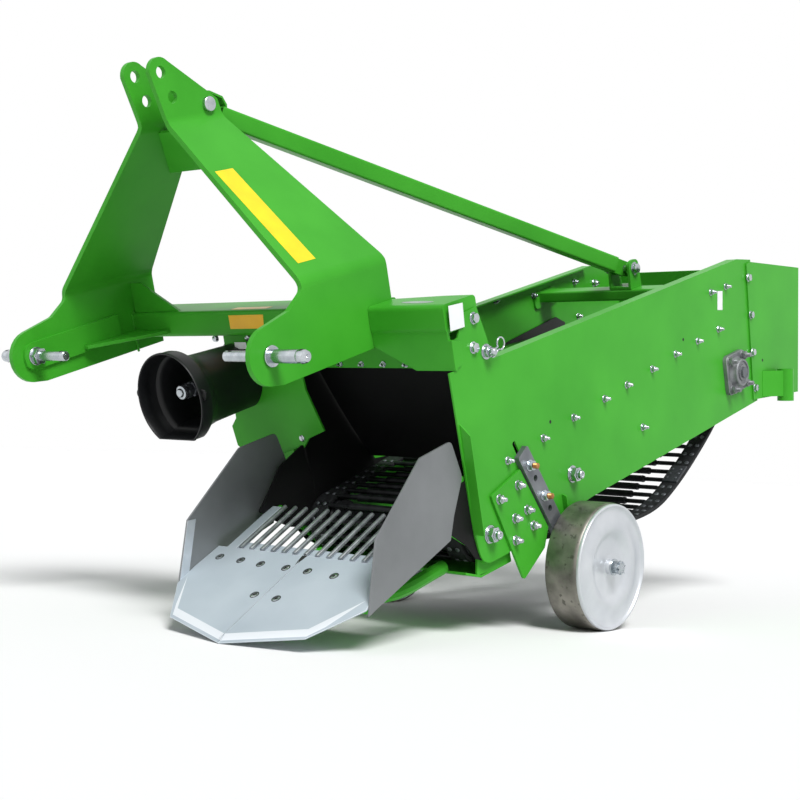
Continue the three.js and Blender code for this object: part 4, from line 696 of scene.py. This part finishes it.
def web_line():
    (fy, fz), fr = FRONT_ROLLER, 58
    (dy, dz), dr = DRIVE, 70
    points = [(fy + t * (dy - fy), fz + fr + t * (dz + dr - fz - fr)) for t in (k / 24 for k in range(25))]
    points += arc(DRIVE, dr, math.pi / 2, -math.pi * 0.93 / 20, range(1, 21))
    sag = [
        points[-1], (1440, -535), (1320, -590), (1210, -630), (1110, -652), (1000, -648), (860, -622),
        (720, -588), (560, -556), (440, -536), (fy + 14, fz - fr + 1),
    ]
    points += [(p.x, p.y) for p in smooth_path([(a, b, 0) for a, b in sag], 10)[1:]]
    return points + arc(FRONT_ROLLER, fr, -math.pi / 2, -math.pi / 16, range(1, 16))


def evenly(points, pitch):
    """Points at a pitch round a loop, each with the direction of its line."""
    closed = points + [points[0]]
    steps = [math.dist(a, b) for a, b in zip(closed, closed[1:])]
    whole = sum(steps)
    count = round(whole / pitch)
    out, i, done = [], 0, 0.0
    for k in range(count):
        goal = k * whole / count
        while done + steps[i] < goal:
            done += steps[i]
            i += 1
        t = (goal - done) / steps[i]
        a, b = closed[i], closed[i + 1]
        out.append((a[0] + t * (b[0] - a[0]), a[1] + t * (b[1] - a[1]), math.atan2(b[1] - a[1], b[0] - a[0])))
    return out


def belt(shape, line, mid):
    """One of the two flat belts, with its edges taken off."""
    rings = []
    for y, z, a in line:
        ring = []
        for side in (-1, 1):
            edge = mid + side * BELT_W / 2
            corner = [(edge - side, 1), (edge, 0.6), (edge, -0.6), (edge - side, -1)]
            for x, h in corner[:: -side]:
                s = h * BELT_T / 2
                ring.append(Vector((x, y - math.sin(a) * s, z + math.cos(a) * s)))
        rings.append(ring)
    loft(shape, rings, BELT, looped=True)


def web_rod(shape, y, z, a):
    """A rod with flattened ends, a rubber sleeve over its middle, and its four rivets."""
    reach = BELT_OFFSET + BELT_W / 2 - 10
    n = Vector((0, -math.sin(a), math.cos(a)))
    t = Vector((0, math.cos(a), math.sin(a)))
    mid = Vector((CHANNEL_X, y, z))
    half = [(reach, 5.2, 2.4), (reach - 1.2, 6.6, 3.0), (reach - 30, 6.6, 3.0)]
    half += [(x, r, r) for x, r in (
        (reach - 42, ROD_R), (SLEEVE_END + 5, ROD_R), (SLEEVE_END + 4, SLEEVE_R - 1),
        (SLEEVE_END, SLEEVE_R), (SLEEVE_END - 6, SLEEVE_R - 0.6),
    )]
    rings = []
    for x, wide, high in [(-x, w, h) for x, w, h in half] + half[::-1]:
        at = mid + n * (2.6 if abs(x) > reach - 40 else 0.6) + X * x
        rings.append([at + t * wide * math.cos(q) + n * high * math.sin(q) for q in turns(12)])
    loft(shape, rings, RODS)
    for sign in (-1, 1):
        for off in (-11, 10):
            at = mid + X * (sign * (BELT_OFFSET + off))
            dome(shape, at - n * 4.0, -n, 6.8, 2.6, RIVET, 12)
            dome(shape, at + n * 5.2, n, 5.4, 2.6, RIVET, 10)


def web():
    line = web_line()
    fine, rods = evenly(line, 9), evenly(line, ROD_PITCH)
    shape = Shape(BELT, RODS)
    for sign in (-1, 1):
        belt(shape, fine, CHANNEL_X + sign * BELT_OFFSET)
    for row in rods:
        web_rod(shape, *row)
    y, z, a = rods[int(len(rods) * 0.605)]  # the rod beside the joint of the belts
    n = Vector((0, -math.sin(a), math.cos(a)))
    t = Vector((0, math.cos(a), math.sin(a)))
    for sign in (-1, 1):
        at = Vector((CHANNEL_X + sign * BELT_OFFSET, y, z)) - n * 6 + t * 18
        plate(shape, [(-22, -34), (22, -34), (22, 34), (-22, 34)], at, X, -t, 4.6, JOINT, 1.6)
        for u in (-18, 0, 18):
            for v in (-12, 12):
                dome(shape, at + X * v - n * 4.4 + t * u, -n, 4, 2, RIVET, 12)
    shape.make("rod_web", finish="black_steel_rods", smooth=40, replaces=["elevator_web"])


def roller(name, node, place, r):
    """A roller with a drum under each belt, and the ends of its shaft in the side plates."""
    shape = Shape(RODS, ZINC)
    middle = Vector((CHANNEL_X, *place))
    inner, outer = BELT_OFFSET - BELT_W / 2 - 8, BELT_OFFSET + BELT_W / 2 + 2
    half = [(HALF - 2, 0), (HALF - 2, ROLLER_SHAFT_R), (outer, ROLLER_SHAFT_R), (outer, 24), (outer - 2, r - 3)]
    half += [(outer - 4, r), (inner + 3, r), (inner, r - 3), (inner, 26)]
    turned(shape, middle, X, [(-h, rr) for h, rr in half] + half[::-1], 48, RODS)
    cover = [(0, 0), (0, 30), (1.6, 30), (2.2, 25), (1.2, 23), (1.2, 17), (3.0, 16), (3.0, 10), (3.0, 0)]
    for sign in (-1, 1):
        turned(shape, middle + X * (sign * (outer - 0.2)), X * sign, cover, 32, RODS)
        barrel(shape, middle, X * sign, HALF - 3, HALF + 0.2, ROLLER_SHAFT_R + 0.1, 32, GREEN)
    shape.make(name, finish="dark_steel", smooth=40, replaces=[node])


web()
roller("front_belt_roller", "front_roller", FRONT_ROLLER, 50.5)
roller("shaker_belt_roller", "shaker_roller", SHAKER, 44.0)
roller("carrying_belt_roller", "carrying_roller", CARRIER_ROLLER, 44.0)


# ---- share rods, side strips, painted highlight and shade, and plough bolts
SHARE_TURN = Matrix.Translation((CHANNEL_X, 0, SHARE_Z)) @ Matrix.Rotation(SLOPE, 4, "X")
SHARE_UP = (SHARE_TURN.to_3x3() @ Z).normalized()
SHARE_ALONG = (SHARE_TURN.to_3x3() @ Y).normalized()


def share_point(x, y, h=0.0):
    """A point on the share's top face from its place in plan."""
    return Vector((x, y, SHARE_Z + y * math.tan(SLOPE))) + SHARE_UP * h


def share_details():
    shape = Shape(GRATE)
    for i in range(-6, 7):
        start = SHARE_TURN @ Vector((i * 31.5, 46.3, 0.5))
        turned(shape, start, SHARE_ALONG, [(0, 0), (0, 5), (158, 5), (160.4, 4.4), (161.6, 3), (162, 0)], 20)
    for y, h, way, wide, thick in ((72, -8.3, -1, 5, 5.3), (46.3, -8, 1, 25.6, 4.6)):
        bar = [(-199, 0), (199, 0), (199, wide), (-199, wide)]
        plate(shape, bar, SHARE_TURN @ Vector((0, y, h)), X, SHARE_ALONG * way, thick, SHARE)
    shape.make("share_rods", finish="share_steel", smooth=40, replaces=["share_grid"])

    bolts = Shape(ZINC, DARKNESS, GRATE)
    square = [(-2.6, -2.6), (2.6, -2.6), (2.6, 2.6), (-2.6, 2.6)]
    for x, y in ((122, 9), (188, 6), (250, 2), (324, 0), (386, -2), (461, -6), (316, -91), (378, -93)):
        at = share_point(x, y)
        # painted shade: a dark ring round each bolt head and a dark square on its top
        rim = [(0, 0), (0, 10.2), (0.25, 10.2), (0.3, 9.6), (0.3, 0)]
        turned(bolts, at, SHARE_UP, rim, 32, DARKNESS)
        turned(bolts, at, SHARE_UP, [(0, 0), (0, 8.6), (0.5, 8.5), (0.9, 7.4), (0.9, 0)], 32, ZINC)
        plate(bolts, square, at + SHARE_UP * 0.9, X, SHARE_ALONG, 0.12, DARKNESS)
    # painted highlight: a thin pale strip along the share's seam
    seam_highlight = (0.15, PAINTED_HIGHLIGHT, ((-0.7, -226), (0.7, -226), (0.7, 24), (-0.7, 24)))
    # painted shade: a thin dark dart at the rear of the seam
    slot_shade = (0.1, DARKNESS, ((-4, 22), (-1, 12), (2, 22), (6, 43), (-7, 43)))
    for h, tint, corners in (seam_highlight, slot_shade):
        base = [share_point(CHANNEL_X + x, y, h) for x, y in corners]
        loft(bolts, [base, [p + SHARE_UP * 0.3 for p in base]], tint)
    wing_edge_highlight = [(-81, -484), (-27, -353), (-5, -356), (-58, -486)]  # painted highlight for the bright edge of the far wing
    skin = [[Vector((79.3 + (y + 82) * 0.05 + d, y, z)) for y, z in wing_edge_highlight] for d in (0, 0.8)]
    loft(bolts, skin, PAINTED_HIGHLIGHT)
    bolts.make("plough_bolts_and_painted_light", finish="zinc_plated_steel")


share_details()


# ---- bolts and nuts
def sides(out):
    """The way out and the x of both faces that stand this far out from the side plates."""
    return (1, OUT_L + out), (-1, OUT_R - out)


def proud(*places):
    """Nuts stand proud of the plate, so their places lie ahead of and above what the picture shows."""
    return [(y - 9.0, z + 2.6) for y, z in places]


def big_nut(shape, at, out):
    """The nut on a roller's shaft, with two washers and the shaft's countersunk end."""
    washer(shape, at, out, 20, 3)
    washer(shape, at + out * 3, out, 17, 2.2)
    hexagon(shape, at + out * 5.2, out, 30, 13, spin=0.35)
    end = [(-0.5, 0), (-0.5, 12.4), (2.2, 12), (3, 10.6), (3, 9.6), (9, 9.6), (10.5, 8.4), (10.5, 5)]
    turned(shape, at + out * 18.2, out, end + [(8.6, 4), (8.6, 0)])


def side_fasteners():
    shape = Shape(ZINC, COPPER, DARKNESS)
    row = [(602, -329), (733, -317), (873, -309), (980, -302), (1108, -294), (1232, -285), (1354, -279)]
    row += [(1474, -274), (1031, -422), (459, -339), (1454, -170), (1540, -172)]
    for y, z in proud(*row):
        nut(shape, (OUT_L, y, z), X, 8, 8)
        dome(shape, (IN_L, y, z), -X, 9, 4.5)
        nut(shape, (IN_R, y, z), X, 8, 5, high=0.62)
    for y, z in proud((602, -329), (1031, -422), (1454, -170), (1540, -172)):
        dome(shape, (OUT_R, y, z), -X, 9, 4.5)
    for y, z in ((398, -12), (384, -72)):
        bolt_head(shape, (OUT_L, y, z), X, 12)
    for y, z in ((1662, -170), (1655, -273), (1644, -376), (1639, -476)):
        for s, face in sides(EXT_T):
            bolt_head(shape, (face, y, z), X * s, 10)
            nut(shape, (IN_L if s > 0 else IN_R, y, z), -X * s, 10, 6)
    for y, z in ((466, -396), (393, -405), (488, -459), (440, -463), (503, -500), (431, -510)):
        for s, face in sides(GAP + 6):
            nut(shape, (face, y, z), X * s, 10, 9)
    for y, z in ((511, -364.5), (551.3, -446.1)):
        for s, face in sides(GAP + ARM_T):
            washer(shape, (face, y, z), X * s, 13, 2.5)
            hexagon(shape, (face + s * 2.5, y, z), X * s, 20, 10, spin=0.2)
            thread(shape, (face + s * 12.5, y, z), X * s, 6.6, -1, 12, 1.75, COPPER)
    # painted shade: dark discs where empty holes lie
    for x, y, z in (
        (OUT_L, 630, -299), (OUT_L, 1272, -256), (OUT_L, 1578, -408), (OUT_L + EXT_T, 1700, -412),
    ):
        barrel(shape, (x, y, z), X, 0, 0.12, 4.2, 20, DARKNESS)
    for s, face in sides(0):
        for y, z in ((352, -470), (690, -439), (1010, -418)):
            if s < 0 or y < 900:  # the near side shows no nut on the last shaft
                big_nut(shape, Vector((face, y, z)), X * s)
    for x in (146, 209, 272, 335, 398, 461, 524):
        nut(shape, (x, 387, -109), -Y, 6, 4)
    for x in (-54, 54):
        bolt_head(shape, (PTO_X + x, 322, PTO_Z + 84), -Y, 8)
    dome(shape, (116, 322, -268), -Y, 8, 4)
    for y, z in ((1339, -143), (1555, -146), (1554, -247), (1157, -120)):
        nut(shape, (IN_R, y, z), X, 8, 6)
    for sign in (1, -1):  # cross holes of the upright tubes, as dark discs of painted shade
        hole = (CHANNEL_X + sign * 273.3, 1774 - 22.9, -498)
        barrel(shape, hole, -Y, -0.2, 0.15, 5.5, 24, DARKNESS)
    wedge = [(1166, -244), (1348, -260), (1475, -259), (1477, -248), (1434, -224), (1192, -239)]
    loft(shape, [[Vector((x, y, z)) for y, z in wedge] for x in (IN_R + 0.1, IN_R + 4.0)], PLASTIC)
    shape.make("side_fasteners", finish="zinc_plated_steel", smooth=32)


side_fasteners()


def clip_pin():
    """The lock pin beside the box, with its washer, spring clip and split end."""
    shape = Shape(ZINC)
    at = Vector((OUT_L, 425, -90))
    washer(shape, at, X, 17, 3)
    turned(shape, at, X, [(3, 0), (3, 12), (12, 12), (12.6, 11.4), (12.6, 8), (24, 8), (26, 6.4), (26, 0)])
    cross = at + X * 19
    along = Vector((0, 0.94, 0.34)).normalized()
    side = X.cross(along)
    loop = [
        cross + along * (32 + 13 * math.cos(t)) + side * 13 * math.sin(t) + X * 0.6
        for t in (math.pi - a for a in turns(26)[:24])
    ]
    back = [loop[-1]] + [cross + along * a - side * b for a, b in ((16, 7), (2, 11), (-10, 8))]
    tube(shape, smooth_path([cross - along * 12, cross + along * 20] + loop, 3), 1.9, 10)
    tube(shape, smooth_path(back, 6), 1.9, 10)
    shape.make("clip_pin", finish="zinc_plated_steel", smooth=45)


clip_pin()


def bearing():
    """The square four-bolt flange bearing of the drive shaft, as a casting."""
    shape = Shape(CAST, ZINC, BARE)
    y, z = DRIVE
    face = OUT_L + GAP

    def square(x, size, radius):
        pts = []
        for qy, qz in ((1, 1), (-1, 1), (-1, -1), (1, -1)):
            start = math.atan2(qz, qy) - math.pi / 4
            reach = size - radius
            for t in (start + k / 6 * math.pi / 2 for k in range(7)):
                pts.append(Vector((
                    x, y + qy * reach + radius * math.cos(t), z + qz * reach + radius * math.sin(t),
                )))
        return pts

    loft(shape, [square(face, 54, 16), square(face + 10.5, 54, 16), square(face + 12.4, 52, 14)], CAST)
    boss = shifted(
        face, (8, 0), (8, 44), (12.6, 43), (16, 40), (20, 38), (28, 37), (30, 35), (30, 31), (27, 30),
        (27, 22), (30.5, 21.6), (30.5, 16), (30.5, 0),
    )
    turned(shape, (0, y, z), X, boss, 64, CAST)
    end = shifted(face, (24, 0), (24, 15), (35.4, 15), (36.6, 13.8), (36.6, 4.4), (34, 3), (34, 0))
    turned(shape, (0, y, z), X, end, 40, BARE)
    for a, b in ((1, 1), (1, -1), (-1, 1), (-1, -1)):
        nut(shape, (face + 12.4, y + a * 39, z + b * 39), X, 12, 12)
        mid = Vector((face + 11, y + a * 17, z + b * 17))
        plate(shape, [(-6, 0), (6, 0), (5, 11), (-5, 11)], mid, (0, b, -a), X, 20, CAST, 2)
    nipple = [(0, 0), (0, 4), (5, 4), (6, 2.6), (9, 2.6), (11, 1.6), (11, 0)]
    turned(shape, (face + 22, y - 20, z + 33), (0.2, -0.5, 0.8), nipple, 20, ZINC)
    shape.make("flange_bearing", finish="cast_housing", smooth=34, replaces=["drive_bearing"])


bearing()


def strut_bolts():
    shape = Shape(ZINC)
    bolt = [(-60, 0), (-60, 15), (-58.5, 16), (-49, 16), (-47.4, 15), (-47.4, 10), (47.3, 10), (47.3, 16.4)]
    turned(shape, STRUT_FRONT, X, bolt + [(52, 17), (55, 16.4), (56, 15), (56, 0)], 48)
    for low, high in ((-34.6, -15), (15, 34.6)):
        barrel(shape, STRUT_FRONT, X, low, high, 16.5, 36, GREEN)
    band = [(258, 527), (296, 524), (331, 509), (339, 493), (335, 468)]
    skin = [(262, 532), (297, 529), (334, 513), (344, 494), (340, 467)]
    loft(shape, [[Vector((x, *p)) for p in band + skin[::-1]] for x in (-32, 32)], GREEN)
    shape.make("strut_pin_front", finish="zinc_plated_steel", replaces=["strut_bolt_front"])

    shape = Shape(ZINC)
    rear = Vector(STRUT_REAR)
    barrel(shape, rear, X, -34, 34, 10)
    bolt_head(shape, rear + X * 33.3, X, 16)
    nut(shape, rear - X * 33.3, -X, 16, 7)
    for a in (-1, 1):
        barrel(shape, rear, X * a, 15, 25.7, 16, 32, GREEN)
    shape.make("strut_pin_rear", finish="zinc_plated_steel", replaces=["strut_bolt_rear"])


strut_bolts()


# ---- rubber
def grid_sheet(at, columns, rows, thick):
    """A rubber sheet of even thickness from at(u, v), with u and v from 0 to 1."""
    front = [[Vector(at(i / columns, j / rows)) for i in range(columns + 1)] for j in range(rows + 1)]
    rear = []
    for j in range(rows + 1):
        for i in range(columns + 1):
            du = front[j][min(i + 1, columns)] - front[j][max(i - 1, 0)]
            dv = front[min(j + 1, rows)][i] - front[max(j - 1, 0)][i]
            rear.append(front[j][i] - du.cross(dv).normalized() * thick)
    wide = columns + 1
    back = wide * (rows + 1)
    faces = []
    for j in range(rows):
        for i in range(columns):
            a = j * wide + i
            faces.append([a, a + 1, a + wide + 1, a + wide])
            faces.append([back + a, back + a + wide, back + a + wide + 1, back + a + 1])
    rim = list(range(wide)) + [j * wide + columns for j in range(1, rows + 1)]
    rim += [rows * wide + i for i in range(columns - 1, -1, -1)] + [j * wide for j in range(rows - 1, 0, -1)]
    for a, b in zip(rim, rim[1:] + rim[:1]):
        faces.append([b, a, back + a, back + b])
    shape = Shape(RUBBER)
    shape.add([p for line in front for p in line] + rear, faces)
    return shape


def curtain():
    """The sheet across the channel, pushed back at its foot by what it hangs over."""
    def place(u, v):
        sway = 3.5 * v * v * math.sin(5.0 * u + 0.6) + 1.6 * v * math.sin(13 * u)
        y = CURTAIN_Y + CURTAIN_LEAN * v - 6.0 * v * (1 - v) * 4 + sway
        return (CHANNEL_X + (2 * u - 1) * CURTAIN_HALF, y, CURTAIN_TOP + (CURTAIN_LOW - CURTAIN_TOP) * v)

    sheet = grid_sheet(place, 60, 36, SHEET_T)
    piece = sheet.make("hung_curtain", finish="black_rubber", smooth=50, replaces=["rubber_curtain"])


curtain()


def along_line(corners, y):
    """The z of a broken line of (y, z) corners at y."""
    for (a, b), (c, d) in zip(corners, corners[1:]):
        if y <= c:
            return b + (d - b) * (y - a) / (c - a)
    return corners[-1][1]


def side_skirt(side, sign, upper, lower, extra):
    """A skirt that closes the corner between a wing, a side plate and the web."""
    first, last = upper[0][0], upper[-1][0]
    columns = sorted([first + (last - first) * k / 58 for k in range(59)] + extra)

    def place(u, v):
        y = columns[round(u * 60)]
        high, deep = along_line(upper, y), along_line(lower, y)
        z = high + (deep - high) * v
        swell = min(1.0, max(0.0, (-290.0 - z) / 90.0))
        lip = max(0.0, 1.0 - (z - deep) / 36.0)
        push = 12.0 * swell * swell * (3 - 2 * swell) + 7.0 * lip
        return (CHANNEL_X + sign * (229.4 - push * math.sin(math.pi * (y - first) / (last - first))), y, z)

    sheet = grid_sheet(place, 60, 14, SHEET_T * sign)
    piece = sheet.make("side_skirt_" + side, finish="black_rubber", smooth=60, replaces=["side_rubber_" + side])


def arm_rubber(side, sign):
    shape = Shape(RUBBER)
    outline = [(226, -428), (238, -372), (244, -344), (256, -339), (332, -334), (332, -524), (300, -508)]
    outline.append((272, -468))
    inner = CHANNEL_X + sign * 238.8
    pierced(shape, outline[::-1], [], inner, inner + sign * 2.8)
    piece = shape.make("arm_rubber_" + side, finish="black_rubber", replaces=["arm_skirt_" + side])


side_skirt(
    "right", -1,
    [(158, -388), (200, -348), (240, -311), (328.6, -283), (331.2, -114), (408, -108), (557, -384)]
    + [(640, -398)],
    [(158, -392), (190, -420), (236, -452), (300, -468), (400, -448), (480, -420), (640, -404)],
    [328.6, 331.2],
)
side_skirt(
    "left", 1,
    [(236, -308), (388, -276), (470, -352), (530, -384)],
    [(236, -408), (258, -412), (300, -420), (400, -398), (530, -388)],
    [237, 529],
)
for row in SIDES:
    arm_rubber(*row)


# ---- welds and blank labels
def beads(radius=2.8):
    """Rippled weld beads where the legs stand on the beam."""
    shape = Shape(GREEN)
    front, top = BEAM_FRONT, BEAM_TOP
    for sign in (1, -1):
        for (y0, z0), (y1, z1) in (
            ((front - 1, top - 96), (front - 1, top - 2)), ((front + 2, top + 1), (front + 92, top + 1)),
        ):
            a, b = Vector((sign * (LEG_IN - 1), y0, z0)), Vector((sign * (LEG_IN - 1), y1, z1))
            steps = max(2, int((b - a).length / 2.4))
            line = [a.lerp(b, k / steps) for k in range(steps)] + [b]
            radii = [radius * (1 + 0.16 * math.sin(k * 1.9) + 0.10 * chance.random()) for k in range(len(line))]
            radii[0] = radii[-1] = radius * 0.35
            tube(shape, line, radii, 8)
    shape.make("weld_beads", smooth=60)


beads()


def label(name, corners, normal, material):
    """A thin vinyl label with its corners on a surface."""
    corners = [Vector(c) + normal * 0.05 for c in corners]
    shape = Shape(material)
    loft(shape, [corners, [c + normal * 0.35 for c in corners]])
    shape.make(name, finish=None)


def labels():
    along = Vector((-0.69663283, 0, 0.71742784))
    out = Vector((0.71742784, 0, 0.69663283)).normalized()
    base = Vector((376, 0, 125)) + out * 6.0
    leg = [base + along * a + Y * y for a, y in ((322, 152), (41, 150), (41, 204), (322, 205))]
    label("yellow_leg_label", leg, out, YELLOW)
    beam = [(x, BEAM_FRONT, z) for x, z in ((-38, -8), (69, -8), (73, 24), (-38, 24))]
    label("orange_beam_label", beam, -Y, ORANGE)
    end = [(BOX_END, y, z) for y, z in ((314, 31), (310, -21), (359, -22), (363, 28))]
    label("box_end_label", end, X, WHITE)
    panel = [(OUT_L, y, z) for y, z in ((1484, -172), (1473, -221), (1501, -227), (1512, -177.5))]
    label("panel_label", panel, X, WHITE)
    shield = [(x, 304, z) for x, z in ((-31, -55), (6, -55), (6, -39), (-31, -39))]
    label("shield_label", shield, -Y, WHITE)
    oval = [(490 + 44 * math.cos(t), 343 + 12 * math.sin(t) - 2.64 * math.cos(t), BEAM_TOP) for t in turns(28)]
    label("box_top_label", oval, Z, GREY)
    top = [(x, y, BEAM_TOP) for x, y in ((-38, 318), (73, 318), (73, 340), (-38, 340))]
    label("orange_beam_label_top", top, Z, ORANGE)


labels()


# ---- stage, light and camera
def floor(size=14.0, pale=0.94):
    m = bpy.data.materials.new("floor_white")
    m.use_nodes = True
    put(m.node_tree.nodes["Principled BSDF"], Base_Color=(pale, pale, pale, 1), Roughness=0.9)
    mesh = bpy.data.meshes.new("floor")
    corners = [(a * size, b * size, 0) for a, b in ((-1, -1), (1, -1), (1, 1), (-1, 1))]
    mesh.from_pydata(corners, [], [(0, 1, 2, 3)])
    mesh.materials.append(m)
    ground = bpy.data.objects.new("floor", mesh)
    bpy.context.scene.collection.objects.link(ground)


def sun(name, toward, strength, spread):
    """A soft distant lamp; toward points from the object to the lamp."""
    lamp = bpy.data.lights.new(name, "SUN")
    lamp.energy = strength
    lamp.angle = math.radians(spread)
    holder = bpy.data.objects.new(name, lamp)
    holder.rotation_euler = Vector(toward).to_track_quat("Z", "Y").to_euler()
    bpy.context.scene.collection.objects.link(holder)


def sky():
    """Weak sky light; the camera, glossy and clear rays see plain white."""
    world = bpy.data.worlds.new("sky")
    bpy.context.scene.world = world
    world.use_nodes = True
    nodes, links = world.node_tree.nodes, world.node_tree.links
    soft = nodes["Background"]
    put(soft, Color=(0.95, 0.97, 1.0, 1), Strength=0.25)
    seen = nodes.new("ShaderNodeBackground")
    put(seen, Color=(1, 1, 1, 1))
    path = nodes.new("ShaderNodeLightPath")
    either, any_of = nodes.new("ShaderNodeMath"), nodes.new("ShaderNodeMath")
    either.operation = any_of.operation = "MAXIMUM"
    blend = nodes.new("ShaderNodeMixShader")
    for source, target in (
        (path.outputs["Is Camera Ray"], either.inputs[0]),
        (path.outputs["Is Transmission Ray"], either.inputs[1]),
        (path.outputs["Is Glossy Ray"], any_of.inputs[1]), (either.outputs[0], any_of.inputs[0]),
        (any_of.outputs[0], blend.inputs["Fac"]), (soft.outputs[0], blend.inputs[1]),
        (seen.outputs[0], blend.inputs[2]), (blend.outputs[0], nodes["World Output"].inputs["Surface"]),
    ):
        links.new(source, target)


def camera():
    """The camera solved from the picture: 800 pixels square, lengths in millimetres."""
    pixels, sensor = 800.0, 36.0
    focal, cx, cy = 1470.689498, 398.789808, 385.026509
    az, pitch, roll = 0.700146, -0.198936, -0.147823
    place = Vector((2400.779, -2024.167, 479.801))
    ahead = Vector((-math.sin(az), math.cos(az), 0))
    right = Vector((math.cos(az), math.sin(az), 0))
    look = ahead * math.cos(pitch) + Z * math.sin(pitch)
    up = Z * math.cos(pitch) - ahead * math.sin(pitch)
    side = right * math.cos(roll) + up * math.sin(roll)
    top = up * math.cos(roll) - right * math.sin(roll)
    turn = Matrix.Rotation(PARK, 3, "X")
    eye = bpy.data.cameras.new("camera")
    eye.sensor_width = sensor
    eye.lens = focal / pixels * sensor
    eye.shift_x = (pixels / 2 - cx) / pixels
    eye.shift_y = (cy - pixels / 2) / pixels
    eye.clip_end = 60
    holder = bpy.data.objects.new("camera", eye)
    m = Matrix((turn @ side, turn @ top, -(turn @ look))).transposed().to_4x4()
    m.translation = TO_ROW @ place
    holder.matrix_world = m
    bpy.context.scene.collection.objects.link(holder)
    bpy.context.scene.camera = holder


floor()
sun("key", (0.65, -0.35, 0.85), 3.25, 24)
sun("fill", (-0.5, -0.8, 0.5), 0.25, 60)
sky()
camera()
bpy.context.scene.view_settings.view_transform = "Standard"
